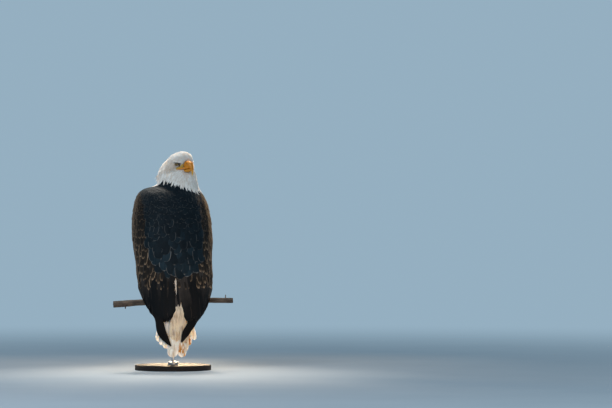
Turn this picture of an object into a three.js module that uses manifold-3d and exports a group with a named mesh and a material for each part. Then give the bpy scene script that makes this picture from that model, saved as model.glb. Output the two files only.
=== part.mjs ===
// A life-size bald eagle, perched with its head turned over its right shoulder, on a cut branch
// that a display stand holds up.
// Millimetres. +Z is up, +Y is the way the breast faces, +X is the bird's right. The origin is the
// middle of the stand's underside. Inside the perched group, heights are above the branch's axis.
import * as THREE from "three";
import { mergeVertices } from "three/addons/utils/BufferGeometryUtils.js";
import Module from "manifold-3d";

const wasm = await Module();
wasm.setup();

// ---- Driving sizes ----

const GAP = 0.4; // between two pieces that touch
const PERCH_HEIGHT = 270; // the branch's axis above the floor, so that the tail hangs clear

const BASE = { radius: 150, thickness: 20, bevel: 3, sides: 34 };
const ROD = { radius: 7, sides: 16 };
const COLLAR = { radius: 19, height: 12 };
const SADDLE = { radius: 13, below: 14 }; // below is how far it reaches under the branch

const PERCH = {
  length: 470,
  thick: 13.5, // radius at the bird's left end
  thin: 10.5, // radius at its right end
  turn: -8, // degrees about +Z, away from square to the body
  rise: 1.9, // degrees up towards the bird's right
  bow: 6, // how far the middle stands above the ends
  knots: 0.03, // how much the radius wavers
};
const SPURS = [
  { along: 206, turn: 62, radius: 4, length: 27 },
  { along: -187, turn: -138, radius: 5, length: 30 },
];

const LEAN = { slope: -0.03, pivot: 150 }; // the trunk tips a little to the bird's left
const HEAD = { middle: [41.7, 2, 536], turn: -148 }; // between the eyes; turned to the bird's right
const LEG_SPREAD = 45; // each foot from the middle, along the branch

// ---- Making shapes ----

const vec = (x, y, z) => new THREE.Vector3(x, y, z);
const degrees = THREE.MathUtils.degToRad;
const mix = THREE.MathUtils.lerp;
const signedPower = (value, power) => Math.sign(value) * Math.abs(value) ** power;

/** One slice of a loft: its middle, and how far it reaches sideways, forward and backward. */
const slice = (middle, side, fore, aft = fore.clone().negate()) => ({ middle, side, fore, aft });

/** A level slice of the body, widest at y = mid, with its front and back surfaces at those y. */
function level(z, { x = 0, mid, wide, front, back }) {
  return slice(vec(x, mid, z), vec(wide, 0, 0), vec(0, front - mid, 0), vec(0, back - mid, 0));
}

/** An upright slice of the head, facing forward, from its top edge to its bottom edge. */
function upright(top, bottom, wide, x = 0) {
  const [high, low] = [vec(x, ...top), vec(x, ...bottom)];
  const middle = high.clone().add(low).multiplyScalar(0.5);
  return slice(middle, vec(wide, 0, 0), high.sub(middle), low.sub(middle));
}

/** Smooth curves through the slices: at(t) gives the slice at t from 0 to 1. */
function through(slices) {
  const curve = (key) => new THREE.CatmullRomCurve3(slices.map((s) => s[key]), false, "centripetal");
  const curves = { middle: curve("middle"), side: curve("side"), fore: curve("fore"), aft: curve("aft") };
  return (t) => Object.fromEntries(Object.entries(curves).map(([key, c]) => [key, c.getPoint(t)]));
}

const longer = (v, extra) => v.clone().setLength(v.length() + extra);

/** A point on a slice's outline: angle 0 is sideways, 90 degrees forward and -90 backward. */
function onOutline(s, angle, grow = 0, square = 2) {
  const [across, along] = [Math.cos(angle), Math.sin(angle)].map((v) => signedPower(v, 2 / square));
  const reach = longer(along < 0 ? s.aft : s.fore, grow);
  return s.middle
    .clone()
    .addScaledVector(longer(s.side, grow), across)
    .addScaledVector(reach, Math.abs(along));
}

/** A geometry from points and triangles, with its faces turned outward. */
function closed(points, triangles) {
  const volume = triangles.reduce((sum, [a, b, c]) => {
    return sum + points[a].dot(points[b].clone().cross(points[c]));
  }, 0);
  const outward = volume < 0 ? triangles.map(([a, b, c]) => [a, c, b]) : triangles;
  const geometry = new THREE.BufferGeometry().setFromPoints(points);
  geometry.setIndex(outward.flat());
  return geometry;
}

/** Triangles that join each ring of points to the next one. */
function skinRings(rings, count) {
  const triangles = [];
  for (let i = 0; i + 1 < rings; i += 1) {
    for (let j = 0; j < count; j += 1) {
      const [a, b] = [i * count + j, i * count + ((j + 1) % count)];
      triangles.push([a, b, b + count], [a, b + count, a + count]);
    }
  }
  return triangles;
}

/** A closed body through the slices. grow makes it that much fatter, for cutting its neighbours. */
function loft(slices, { rings = 12, sides = 16, grow = 0, square = 2 } = {}) {
  const at = through(slices);
  const all = Array.from({ length: rings + 1 }, (_, i) => at(i / rings));
  const [first, last] = [all[0], all[rings]];
  const outOf = (end, next) => end.middle.clone().sub(next.middle).setLength(grow);
  const [below, above] = [outOf(first, all[1]), outOf(last, all[rings - 1])];
  first.middle.add(below);
  last.middle.add(above);
  const points = all.flatMap((s) =>
    Array.from({ length: sides }, (_, j) => onOutline(s, (2 * Math.PI * j) / sides, grow, square)),
  );
  const triangles = skinRings(rings + 1, sides);
  const [start, end, top] = [points.length, points.length + 1, rings * sides];
  points.push(first.middle.clone(), last.middle.clone());
  for (let j = 0; j < sides; j += 1) {
    const k = (j + 1) % sides;
    triangles.push([start, k, j], [end, top + j, top + k]);
  }
  return closed(points, triangles);
}

/**
 * A closed, curved plate: part of the slices' outline, from one angle to another, made thick inward.
 * edges gives its thickness at its two long edges, as shares of the full one.
 */
function plate(slices, { rings, steps, from, to, thickness, edges, grow = 0, undercut = 0 }) {
  const at = through(slices);
  const all = Array.from({ length: rings + 1 }, (_, i) => at(i / rings));
  all[0].middle.z += grow;
  all[rings].middle.z -= grow;
  const points = all.flatMap((s, i) => {
    const t = i / rings;
    const wider = grow / s.side.length();
    const angleAt = (j) => mix(from(t) + wider, to(t) - wider, j / steps);
    const outer = Array.from({ length: steps + 1 }, (_, j) => onOutline(s, angleAt(j), grow));
    const inner = outer.map((point, j) => {
      const inward = s.middle.clone().sub(point);
      const share = Math.max(mix(...edges, j / steps), Math.sin((Math.PI * j) / steps) ** 0.6);
      const depth = thickness(t) * share + 2 * grow + undercut;
      return point.clone().add(inward.setLength(Math.min(depth, inward.length() * 0.8)));
    });
    return [...outer, ...inner.reverse()];
  });
  const count = 2 * (steps + 1);
  const triangles = skinRings(rings + 1, count);
  for (let j = 0; j < steps; j += 1) {
    const [a, b, c, d] = [j, j + 1, count - 2 - j, count - 1 - j];
    const high = rings * count;
    triangles.push([a, c, b], [a, d, c], [high + a, high + b, high + c], [high + a, high + c, high + d]);
  }
  return closed(points, triangles);
}

// ---- Joining and cutting ----

/** A geometry as a solid, moved by a matrix where one is given. */
function solid(geometry, matrix = new THREE.Matrix4()) {
  const moved = geometry.clone().applyMatrix4(matrix);
  moved.deleteAttribute("normal");
  moved.deleteAttribute("uv");
  const merged = mergeVertices(moved, 1e-4);
  const mesh = new wasm.Mesh({
    numProp: 3,
    vertProperties: merged.attributes.position.array,
    triVerts: new Uint32Array(merged.index.array),
  });
  return new wasm.Manifold(mesh);
}

const cut = (body, ...tools) => tools.reduce((rest, tool) => rest.subtract(tool), body);
const join = (...bodies) => bodies.reduce((whole, body) => whole.add(body));

/** The largest closed body of a solid, which leaves out any sliver that a cut made. */
function largest(body) {
  return body.decompose().reduce((most, one) => (one.volume() > most.volume() ? one : most));
}

/** A named mesh of a solid. */
function piece(name, body, material) {
  const { numProp, numVert, vertProperties, triVerts } = largest(body).getMesh();
  const positions = new Float32Array(numVert * 3);
  for (let i = 0; i < numVert; i += 1) {
    positions.set(vertProperties.subarray(i * numProp, i * numProp + 3), i * 3);
  }
  const geometry = new THREE.BufferGeometry();
  geometry.setAttribute("position", new THREE.BufferAttribute(positions, 3));
  geometry.setIndex(new THREE.BufferAttribute(triVerts, 1));
  geometry.computeVertexNormals();
  const mesh = new THREE.Mesh(geometry, material);
  mesh.name = name;
  return mesh;
}

// ---- Materials ----

const finish = (color, roughness, metalness = 0) =>
  new THREE.MeshStandardMaterial({ color, roughness, metalness });

const BROWN_PLUMAGE = finish("#2a221e", 0.8);
const WHITE_PLUMAGE = finish("#e6e2da", 0.8);
const FLIGHT_FEATHER = finish("#1d1918", 0.6);
const YELLOW_BILL = finish("#dd9a12", 0.4);
const YELLOW_SKIN = finish("#d9a431", 0.55);
const TALON = finish("#17161a", 0.3);
const IRIS = finish("#e2c45c", 0.1);
const BARK = finish("#6d625a", 0.9);
const LACQUER = finish("#23211f", 0.45);
const STEEL = finish("#8d9093", 0.35, 1);

const [LEFT, RIGHT] = [
  { name: "left", sign: -1 },
  { name: "right", sign: 1 },
];

// ---- The whole body's outline ----

const leanAt = (z) => LEAN.slope * (z - LEAN.pivot);
const bodyLevel = (z, mid, wide, front, back) => level(z, { x: leanAt(z), mid, wide, front, back });

// The outline of the whole body with its wings folded, from the shoulders to the secondaries' tips.
const foldedSlices = [
  bodyLevel(448, 26, 70, 50, -16),
  bodyLevel(442, 26, 104, 66, -36),
  bodyLevel(428, 26, 126, 82, -56),
  bodyLevel(404, 25, 139, 94, -72),
  bodyLevel(341, 20, 156, 100, -93),
  bodyLevel(247, 3, 160, 76, -108),
  bodyLevel(168, -20, 152, 40, -119),
  bodyLevel(90, -46, 148, 0, -127),
  bodyLevel(27, -72, 137, -46, -133),
  bodyLevel(-20, -94, 112, -80, -138),
  bodyLevel(-50, -108, 97, -96, -141),
  bodyLevel(-74, -119, 78, -108, -143),
];

// ---- Trunk, neck and thighs ----

const trunkSlices = [
  bodyLevel(452, 25, 30, 50, -5),
  bodyLevel(436, 22, 76, 80, -32),
  bodyLevel(400, 18, 99, 101, -62),
  bodyLevel(350, 12, 113, 112, -84),
  bodyLevel(290, 8, 117, 112, -97),
  bodyLevel(230, 2, 113, 103, -105),
  bodyLevel(170, -8, 103, 84, -108),
  bodyLevel(110, -28, 84, 52, -112),
  bodyLevel(60, -60, 60, 0, -116),
  bodyLevel(10, -88, 40, -50, -120),
  bodyLevel(-42, -108, 24, -90, -125),
  bodyLevel(-70, -119, 8, -113, -125),
];

// The mantle: the shield of back feathers that lies over the roots of the wings. It follows the
// folded outline and stands proud of it, and narrows to a round end above the slit.
const MANTLE = { from: 0.05, to: 0.63, proud: 5, deep: 28, wide: degrees(50), end: degrees(34) };
const MANTLE_ROOM = { grow: 1.5, undercut: 15 };

function mantleOf({ grow = 0, undercut = 0 } = {}) {
  const outline = through(foldedSlices);
  const slices = Array.from({ length: 9 }, (_, i) => {
    const s = outline(mix(MANTLE.from, MANTLE.to, i / 8));
    return { ...s, side: longer(s.side, MANTLE.proud), aft: longer(s.aft, MANTLE.proud) };
  });
  const half = (t) => mix(MANTLE.wide, MANTLE.end, t) * Math.sqrt(1.02 - t ** 6);
  const shield = plate(slices, {
    rings: 11,
    steps: 7,
    from: (t) => degrees(-90) + half(t),
    to: (t) => degrees(-90) - half(t),
    thickness: () => MANTLE.deep,
    edges: [0.12, 0.12],
    grow,
    undercut,
  });
  return solid(shield);
}

const torsoOf = (grow = 0) => solid(loft(trunkSlices, { rings: 12, sides: 16, grow, square: 2.15 }));

// The neck leans to the right with the turned head, and its hackles bunch up at the left.
const neckSlices = [
  level(398, { x: 4, mid: 25, wide: 56, front: 70, back: -24 }),
  level(430, { x: 18, mid: 25, wide: 84, front: 88, back: -44 }),
  level(443, { x: 20, mid: 25, wide: 85, front: 88, back: -47 }),
  level(459, { x: 21, mid: 25, wide: 80, front: 84, back: -46 }),
  level(482, { x: 17, mid: 24, wide: 78, front: 78, back: -40 }),
  level(498, { x: 14, mid: 24, wide: 78, front: 78, back: -32 }),
  level(513, { x: 16, mid: 25, wide: 70, front: 76, back: -22 }),
  level(530, { x: 12, mid: 28, wide: 60, front: 72, back: -10 }),
  level(545, { x: 2, mid: 30, wide: 38, front: 60, back: 4 }),
  level(556, { x: 2, mid: 32, wide: 14, front: 44, back: 20 }),
];
const neckOf = (grow = 0) => solid(loft(neckSlices, { rings: 10, sides: 14, grow }));

const thighSlices = (sign) => [
  level(205, { x: sign * 56, mid: 34, wide: 22, front: 60, back: 8 }),
  level(168, { x: sign * 60, mid: 30, wide: 41, front: 82, back: -18 }),
  level(126, { x: sign * 58, mid: 18, wide: 44, front: 74, back: -38 }),
  level(88, { x: sign * 54, mid: 0, wide: 37, front: 46, back: -44 }),
  level(62, { x: sign * 49, mid: -12, wide: 23, front: 15, back: -40 }),
  level(48, { x: sign * 47, mid: -14, wide: 12, front: 0, back: -28 }),
];
const thighOf = (sign, grow = 0) => solid(loft(thighSlices(sign), { rings: 7, sides: 11, grow }));

// ---- Head, bill and eyes, in the head's own frame: +Y towards the bill, the eyes' line at zero ----

// The crown overhangs the eyes as a brow; the face below it narrows to the lores and the jaw.
const crownSlices = [
  upright([-74, 12], [-74, -12], 13),
  upright([-65, 34], [-67, -36], 37),
  upright([-42, 47], [-46, -52], 48),
  upright([-18, 50], [-18, -38], 46),
  upright([4, 50], [4, -14], 41),
  upright([17, 42], [15, -5], 34),
  upright([24.5, 30], [22.5, 2], 22),
  upright([28, 19], [26.5, 6], 11),
];
const faceSlices = [
  upright([-32, 20], [-32, -48], 38),
  upright([-10, 20], [-10, -52], 42),
  upright([6, 16], [5, -47], 37),
  upright([16, 14], [14, -39], 27),
  upright([23, 12], [21, -32], 18),
  upright([26, 8], [24, -25], 10),
];
const headOf = (grow = 0) =>
  join(
    solid(loft(crownSlices, { rings: 8, sides: 13, grow, square: 2.25 })),
    solid(loft(faceSlices, { rings: 5, sides: 12, grow, square: 2.25 })),
  );

const upperBillSlices = [
  upright([12, 6], [12, -18], 13),
  upright([25, 13], [24, -19.5], 15),
  upright([39, 12.5], [38, -19], 13),
  upright([50, 7], [45, -19], 11),
  upright([56.5, -4], [49.5, -21], 8.4),
  upright([60, -18], [52.5, -27], 5.6),
  upright([59, -32], [53.5, -36], 3.5),
  upright([56, -46], [54.5, -47], 0.9),
];
const lowerBillSlices = [
  upright([8, -19], [8, -29], 14),
  upright([26, -18.5], [26, -31], 12.5),
  upright([38, -18.5], [37, -30], 9.8),
  upright([47, -20], [46, -27], 5),
  upright([50, -22], [49.5, -25], 1.8),
];
const GAPE = { corner: [37, -2, -20], middle: [28.5, 12.5, -18.5], front: [12, 30, -13], radius: 3.6 };

/** The yellow fold of skin that runs back from the bill to under the eye. */
function gapeOf(sign, grow = 0) {
  const ring = ([x, y, z], radius) => slice(vec(sign * x, y, z), vec(0, 0, radius), vec(radius, 0, 0));
  const { corner, middle, front, radius } = GAPE;
  const slices = [ring(corner, radius * 0.4), ring(middle, radius * 0.8), ring(front, radius * 1.2)];
  return solid(loft(slices, { rings: 4, sides: 8, grow }));
}
const upperBillOf = (grow = 0) => solid(loft(upperBillSlices, { rings: 10, sides: 11, grow, square: 2.3 }));
const lowerBillOf = (grow = 0) => solid(loft(lowerBillSlices, { rings: 6, sides: 10, grow, square: 2.3 }));

const EYE = { radius: 12, place: [31, 1.5, 0] };
function eyeOf(sign, grow = 0) {
  const [x, y, z] = EYE.place;
  const ball = new THREE.SphereGeometry(EYE.radius + grow, 10, 6).translate(sign * x, y, z);
  return solid(ball);
}

const head = new THREE.Group();
head.position.set(...HEAD.middle);
head.rotation.z = degrees(HEAD.turn);
head.updateMatrix();

const bothSides = (make, grow) => [LEFT, RIGHT].map((side) => make(side.sign, grow));

/** The head's pieces cut clear of each other, each still in the head's frame. */
function headPieces() {
  const eyeRooms = bothSides(eyeOf, GAP);
  const gapeRooms = bothSides(gapeOf, GAP);
  const upper = join(upperBillOf(), ...bothSides(gapeOf));
  const skull = cut(headOf(), upperBillOf(GAP), lowerBillOf(GAP), ...gapeRooms, ...eyeRooms);
  return [
    piece("head", skull, WHITE_PLUMAGE),
    piece("bill_upper", cut(upper, ...eyeRooms), YELLOW_BILL),
    piece("bill_lower", cut(lowerBillOf(), upperBillOf(GAP), ...gapeRooms), YELLOW_BILL),
    piece("eye_left", eyeOf(LEFT.sign), IRIS),
    piece("eye_right", eyeOf(RIGHT.sign), IRIS),
  ];
}

/** All of the head as one fat solid in the bird's frame, for cutting the neck and trunk. */
function headRoom() {
  const whole = join(headOf(GAP), upperBillOf(GAP), lowerBillOf(GAP), ...bothSides(gapeOf, GAP));
  return whole.transform(head.matrix.elements);
}

// ---- Wings ----

const WING_LEADING_EDGE = [degrees(58), degrees(44)]; // its front edge on that outline, top to bottom
const WING_DORSAL_EDGE = degrees(-89); // next to the slit down the middle of the back
const WING_SPLAY = { left: degrees(7), right: degrees(14) }; // how far the slit opens over the tail

/** Thickest where the arm lies along the flank, thinnest at the tips of the secondaries. */
const wingThickness = (t) => mix(50, 5, THREE.MathUtils.smoothstep(t, 0.42, 1));

function wingOf({ name, sign }, grow = 0) {
  const slices = foldedSlices.map((s) => ({ ...s, side: s.side.clone().multiplyScalar(sign) }));
  const opening = (t) => WING_SPLAY[name] * THREE.MathUtils.smoothstep(t, 0.8, 1);
  const wing = plate(slices, {
    rings: 13,
    steps: 7,
    from: (t) => mix(...WING_LEADING_EDGE, t),
    to: (t) => WING_DORSAL_EDGE + opening(t),
    thickness: wingThickness,
    edges: [0.5, 0.12],
    grow,
  });
  return solid(wing);
}

// The folded primaries: a blade that runs down and inward from under the wing to its tip.
// Each row is a height, then how far from the middle its outer and its inner edge lie.
const PRIMARIES = {
  left: [[-20, 112, 74], [-74, 92, 58], [-110, 85, 48], [-137, 69, 36], [-171, 27, 21]],
  right: [[-20, 108, 70], [-74, 80, 45], [-98, 63, 34], [-124, 46, 19], [-157, 21, 14]],
};
const BLADE = { depth: [-104, -129, -140, -145, -149], thick: [4, 3, 2.6, 2, 1], roof: 6 };

function primariesOf({ name, sign }, grow = 0) {
  const slices = PRIMARIES[name].map(([z, outer, inner], i) =>
    slice(
      vec((sign * (outer + inner)) / 2, BLADE.depth[i], z),
      vec((sign * (outer - inner)) / 2, BLADE.roof, 0),
      vec(0, BLADE.thick[i], 0),
    ),
  );
  return solid(loft(slices, { rings: 8, sides: 8, grow }));
}

// ---- Tail: twelve overlapping feathers in a shallow roof ----

const TAIL = {
  root: { height: 46, depth: -112, spread: 3.5 },
  tip: { depth: -146, spread: 11.5, inset: 10 },
  lengths: [-214, -216, -212, -204, -186, -171], // the tips' heights, from the middle pair outward
  roof: 1.5, // how much further forward each pair's root lies than the one inside it
  halfWidth: 21,
  thickness: 1.8,
};
// A tail feather's width and thickness down its length, as shares of the full ones.
const VANE = [
  { at: 0, wide: 0.45, thick: 1.4 },
  { at: 0.35, wide: 0.8, thick: 1 },
  { at: 0.75, wide: 1, thick: 0.8 },
  { at: 0.93, wide: 0.8, thick: 0.6 },
  { at: 1, wide: 0.28, thick: 0.5 },
];

function tailFeather(sign, k, grow = 0) {
  const { root, tip, lengths, roof, halfWidth, thickness } = TAIL;
  const start = vec(sign * root.spread * (k + 0.5), root.depth + roof * k, root.height);
  const end = vec(sign * (tip.spread * k + tip.inset), tip.depth + 2 * roof * k, lengths[k]);
  const slices = VANE.map(({ at, wide, thick }) => {
    const across = vec(halfWidth * wide, sign * wide, 0);
    return slice(start.clone().lerp(end, at), across, vec(0, thickness * thick, 0));
  });
  return solid(loft(slices, { rings: 4, sides: 5, grow }));
}

function tailOf(grow = 0) {
  const feathers = [LEFT, RIGHT].flatMap(({ sign }) =>
    TAIL.lengths.map((_, k) => tailFeather(sign, k, grow)),
  );
  return join(...feathers);
}

// ---- Perch ----

const perchFrame = new THREE.Matrix4().makeRotationFromEuler(
  new THREE.Euler(0, degrees(-PERCH.rise), degrees(PERCH.turn), "ZYX"),
);
const perchRadius = (along) => mix(PERCH.thick, PERCH.thin, along / PERCH.length + 0.5);
const perchBow = (along) => -PERCH.bow * (along / (PERCH.length / 2)) ** 2;

/** The stub of a broken twig, at its place along the branch. */
function spurOf({ along, turn, radius, length }, grow) {
  const stub = new THREE.CylinderGeometry(radius * 0.45 + grow, radius + grow, length, 7);
  stub.translate(0, length / 2, 0).rotateX(degrees(turn));
  return solid(stub.translate(along, 0, perchBow(along)));
}

function perchOf(grow = 0) {
  const RINGS = 10;
  const slices = Array.from({ length: RINGS + 1 }, (_, i) => {
    const along = mix(-PERCH.length / 2, PERCH.length / 2, i / RINGS);
    const radius = perchRadius(along) * (1 + PERCH.knots * Math.sin(i * 2.1));
    return slice(vec(along, 0, perchBow(along)), vec(0, radius, 0), vec(0, 0, radius));
  });
  const limb = solid(loft(slices, { rings: RINGS, sides: 11, grow }));
  const spurs = SPURS.map((spur) => spurOf(spur, grow));
  return join(limb, ...spurs).transform(perchFrame.elements);
}

// ---- Feet, each in its own frame: +X along the branch, its axis at zero ----

const TOE = { root: 7.6, end: 5.4, off: 0.9, knuckle: 0.05 }; // off is the gap to the bark
// Where each toe starts and ends round the branch, in degrees, and along it.
const TOES = [
  { name: "inner", from: 78, to: -42, start: -7, end: -25, size: 1 },
  { name: "middle", from: 84, to: -58, start: 1, end: 3, size: 1 },
  { name: "outer", from: 78, to: -36, start: 8, end: 26, size: 0.92 },
  { name: "hind", from: 100, to: 208, start: -3, end: -11, size: 1.08 },
];
const CLAW = { sweep: 84, after: 2.5, root: 4.3, tip: 0.6, tipOff: 3.2, arch: 2.5, deep: 1.15 };
const PALM = { wide: 13.5, long: 15, high: 9.5, off: 0.7 };
const WRAP_STEPS = 5;

const footFrame = ({ sign }) =>
  perchFrame.clone().multiply(new THREE.Matrix4().makeTranslation(sign * LEG_SPREAD, 0, 0));

/** A body along a path round the branch; at(t) gives its angle, place along, distance and radius. */
function wrapped({ sign }, sides, at) {
  const slices = Array.from({ length: WRAP_STEPS + 1 }, (_, i) => {
    const { angle, along, away, radius, deep = 1 } = at(i / WRAP_STEPS, i);
    const outward = vec(0, Math.cos(degrees(angle)), Math.sin(degrees(angle)));
    const middle = outward.clone().multiplyScalar(perchRadius(sign * LEG_SPREAD) + away);
    middle.x += along * sign;
    return slice(middle, vec(radius, 0, 0), outward.multiplyScalar(radius * deep));
  });
  return solid(loft(slices, { rings: WRAP_STEPS, sides }));
}

function toeOf(side, { from, to, start, end, size }) {
  return wrapped(side, 7, (t, i) => {
    const radius = size * mix(TOE.root, TOE.end, t) * (1 + TOE.knuckle * (-1) ** i);
    return { angle: mix(from, to, t), along: mix(start, end, t), away: radius + TOE.off, radius };
  });
}

function clawOf(side, { from, to, end, size }) {
  const way = Math.sign(to - from);
  return wrapped(side, 6, (t) => ({
    angle: to + way * (CLAW.sweep * t + CLAW.after),
    along: mix(end, end * 0.9, t),
    away: mix(TOE.end + TOE.off, CLAW.tipOff, t) + CLAW.arch * Math.sin(Math.PI * t),
    radius: mix(CLAW.root, CLAW.tip, t ** 1.4) * size,
    deep: CLAW.deep,
  }));
}

function footOf(side) {
  const { wide, long, high, off } = PALM;
  const palm = new THREE.SphereGeometry(1, 10, 6).scale(wide, long, high);
  palm.translate(0, 1, perchRadius(side.sign * LEG_SPREAD) + high + off);
  const toes = TOES.map((toe) => toeOf(side, toe));
  return join(solid(palm), ...toes).transform(footFrame(side).elements);
}

// The bare shank, from inside the thigh's plumage down into the foot.
const SHANK = { ankle: [47, -14, 92], foot: [45, -4, 22], radii: [8.8, 7.6, 7.8, 9.5], deep: 1.1 };

function shankOf({ sign }, grow = 0) {
  const [top, bottom] = [SHANK.ankle, SHANK.foot].map(([x, y, z]) => vec(sign * x, y, z));
  bottom.y += sign * LEG_SPREAD * Math.sin(degrees(PERCH.turn));
  const slices = SHANK.radii.map((radius, i) => {
    const middle = bottom.clone().lerp(top, i / (SHANK.radii.length - 1));
    return slice(middle, vec(radius, 0, 0), vec(0, radius * SHANK.deep, 0));
  });
  return solid(loft(slices, { rings: 5, sides: 10, grow }));
}

// ---- Stand ----

function standBase() {
  const { radius, thickness, bevel, sides } = BASE;
  const profile = [
    [0, 0],
    [radius, 0],
    [radius, thickness - bevel],
    [radius - bevel, thickness],
    [0, thickness],
  ].map(([r, z]) => new THREE.Vector2(r, z));
  return solid(new THREE.LatheGeometry(profile, sides).rotateX(degrees(90)));
}

/** An upright round bar between two heights. */
function bar(radius, from, to) {
  const shape = new THREE.CylinderGeometry(radius, radius, to - from, ROD.sides);
  return solid(shape.rotateX(degrees(90)).translate(0, 0, (from + to) / 2));
}

/** The rod, the collar at its foot and the saddle at its top, below the branch's axis. */
function supportPieces(perchRoom) {
  const foot = BASE.thickness + GAP - PERCH_HEIGHT;
  const top = -PERCH.thick - SADDLE.below;
  const hole = bar(ROD.radius + GAP, foot - 1, foot + COLLAR.height + 1);
  const collar = cut(bar(COLLAR.radius, foot, foot + COLLAR.height), hole);
  return [
    piece("stand_rod", bar(ROD.radius, foot, top - GAP), STEEL),
    piece("stand_collar", collar, STEEL),
    piece("stand_saddle", cut(bar(SADDLE.radius, top, 0), perchRoom), STEEL),
  ];
}

// ---- The object ----

/** One side's wing, primaries, thigh, shank, foot and claws, cut clear of what they meet. */
function sidePieces(side, { trunk, trunkRoom, neckRoom, tailRoom }) {
  const { name, sign } = side;
  const shankRoom = shankOf(side, GAP);
  const wing = cut(wingOf(side), trunkRoom, trunk, neckRoom, tailRoom, thighOf(sign, GAP));
  const primaries = cut(primariesOf(side), wingOf(side, GAP), trunkRoom);
  const thigh = cut(thighOf(sign), trunkRoom, shankRoom);
  const claws = TOES.map((toe) => {
    const claw = clawOf(side, toe).transform(footFrame(side).elements);
    return piece(`claw_${name}_${toe.name}`, claw, TALON);
  });
  return [
    piece(`wing_${name}`, wing, BROWN_PLUMAGE),
    piece(`primaries_${name}`, primaries, FLIGHT_FEATHER),
    piece(`thigh_${name}`, thigh, BROWN_PLUMAGE),
    piece(`shank_${name}`, cut(shankOf(side), trunkRoom), YELLOW_SKIN),
    piece(`foot_${name}`, cut(footOf(side), shankRoom), YELLOW_SKIN),
    ...claws,
  ];
}

const neckRoom = neckOf(GAP);
const trunkRoom = join(torsoOf(GAP), mantleOf(MANTLE_ROOM));
const trunk = cut(join(torsoOf(), mantleOf()), neckRoom, headRoom());
const rooms = { trunk, trunkRoom, neckRoom, tailRoom: tailOf(GAP) };
const tail = cut(tailOf(), trunkRoom, primariesOf(LEFT, GAP), primariesOf(RIGHT, GAP));

head.add(...headPieces());

const perched = new THREE.Group();
perched.position.z = PERCH_HEIGHT;
perched.add(
  head,
  piece("neck", cut(neckOf(), headRoom()), WHITE_PLUMAGE),
  piece("trunk", trunk, BROWN_PLUMAGE),
  piece("tail", tail, WHITE_PLUMAGE),
  ...sidePieces(LEFT, rooms),
  ...sidePieces(RIGHT, rooms),
  piece("perch_branch", perchOf(), BARK),
  ...supportPieces(perchOf(GAP)),
);

const eagle = new THREE.Group();
eagle.add(perched, piece("stand_base", standBase(), LACQUER));

export default eagle;
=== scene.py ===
import math

import bpy
import numpy as np
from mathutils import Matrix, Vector, noise
from mathutils.bvhtree import BVHTree


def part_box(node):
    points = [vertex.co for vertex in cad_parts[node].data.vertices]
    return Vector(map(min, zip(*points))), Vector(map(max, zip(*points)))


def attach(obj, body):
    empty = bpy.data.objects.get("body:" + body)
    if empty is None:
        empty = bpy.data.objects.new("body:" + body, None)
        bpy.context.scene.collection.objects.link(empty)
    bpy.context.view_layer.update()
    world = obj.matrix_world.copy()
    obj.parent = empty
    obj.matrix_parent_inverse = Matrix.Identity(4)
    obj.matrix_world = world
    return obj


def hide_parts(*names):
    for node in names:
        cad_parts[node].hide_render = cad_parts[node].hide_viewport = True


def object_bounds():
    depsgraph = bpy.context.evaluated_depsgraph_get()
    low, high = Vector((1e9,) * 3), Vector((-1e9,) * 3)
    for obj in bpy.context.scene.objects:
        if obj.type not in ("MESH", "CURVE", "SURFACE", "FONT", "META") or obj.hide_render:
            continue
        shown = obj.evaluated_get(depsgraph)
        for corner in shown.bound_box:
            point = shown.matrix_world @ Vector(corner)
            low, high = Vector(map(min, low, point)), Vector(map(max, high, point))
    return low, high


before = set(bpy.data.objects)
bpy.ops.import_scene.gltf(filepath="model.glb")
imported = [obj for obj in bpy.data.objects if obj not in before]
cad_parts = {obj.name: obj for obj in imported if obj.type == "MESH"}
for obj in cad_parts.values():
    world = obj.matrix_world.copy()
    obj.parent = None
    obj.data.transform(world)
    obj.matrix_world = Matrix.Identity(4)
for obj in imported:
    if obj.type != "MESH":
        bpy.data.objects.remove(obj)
cad_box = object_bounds()

MM = 0.001


# ---- The studio ----
# A pale floor that fades into a pale cool surround, and one broad soft light on the viewer's side.
# Small warm lights behind, above and below the bird edge its head, its shoulders and its tail.

def linear(colour):
    """A shader colour from an sRGB hex value."""
    channels = [int(colour[i:i + 2], 16) / 255 for i in (1, 3, 5)]
    return [c / 12.92 if c <= 0.04045 else ((c + 0.055) / 1.055) ** 2.4 for c in channels] + [1]


def per(size):
    """A pattern's scale, from the size of its features in mm."""
    return 1 / (size * MM)


def add(tree, kind, inputs=None, **settings):
    """Adds one shader node with its settings, each input a plain value or another node's output."""
    made = tree.nodes.new("ShaderNode" + kind)
    for name, value in settings.items():
        setattr(made, name, value)
    for socket, value in (inputs or {}).items():
        if isinstance(value, bpy.types.NodeSocket):
            tree.links.new(value, made.inputs[socket])
        else:
            made.inputs[socket].default_value = value
    return made


def finish(name, inputs):
    """A material whose shader gets these inputs; inputs may be a function that makes them in its tree."""
    material = bpy.data.materials.new(name)
    material.use_nodes = True
    tree = material.node_tree
    tree.nodes.clear()
    shader = add(tree, "BsdfPrincipled", inputs(tree) if callable(inputs) else inputs)
    add(tree, "OutputMaterial", {"Surface": shader.outputs[0]})
    return material


def mesh_piece(name, points, faces, material=None):
    """A new object from points in metres, in the row frame."""
    mesh = bpy.data.meshes.new(name)
    mesh.from_pydata([tuple(p) for p in points], [], [tuple(f) for f in faces])
    mesh.update()
    piece = bpy.data.objects.new(name, mesh)
    bpy.context.scene.collection.objects.link(piece)
    if material:
        mesh.materials.append(material)
    return piece


FLOOR_CLEAR, FLOOR_GONE = 1.2, 5.5  # the floor fades between these distances from the stand


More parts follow.
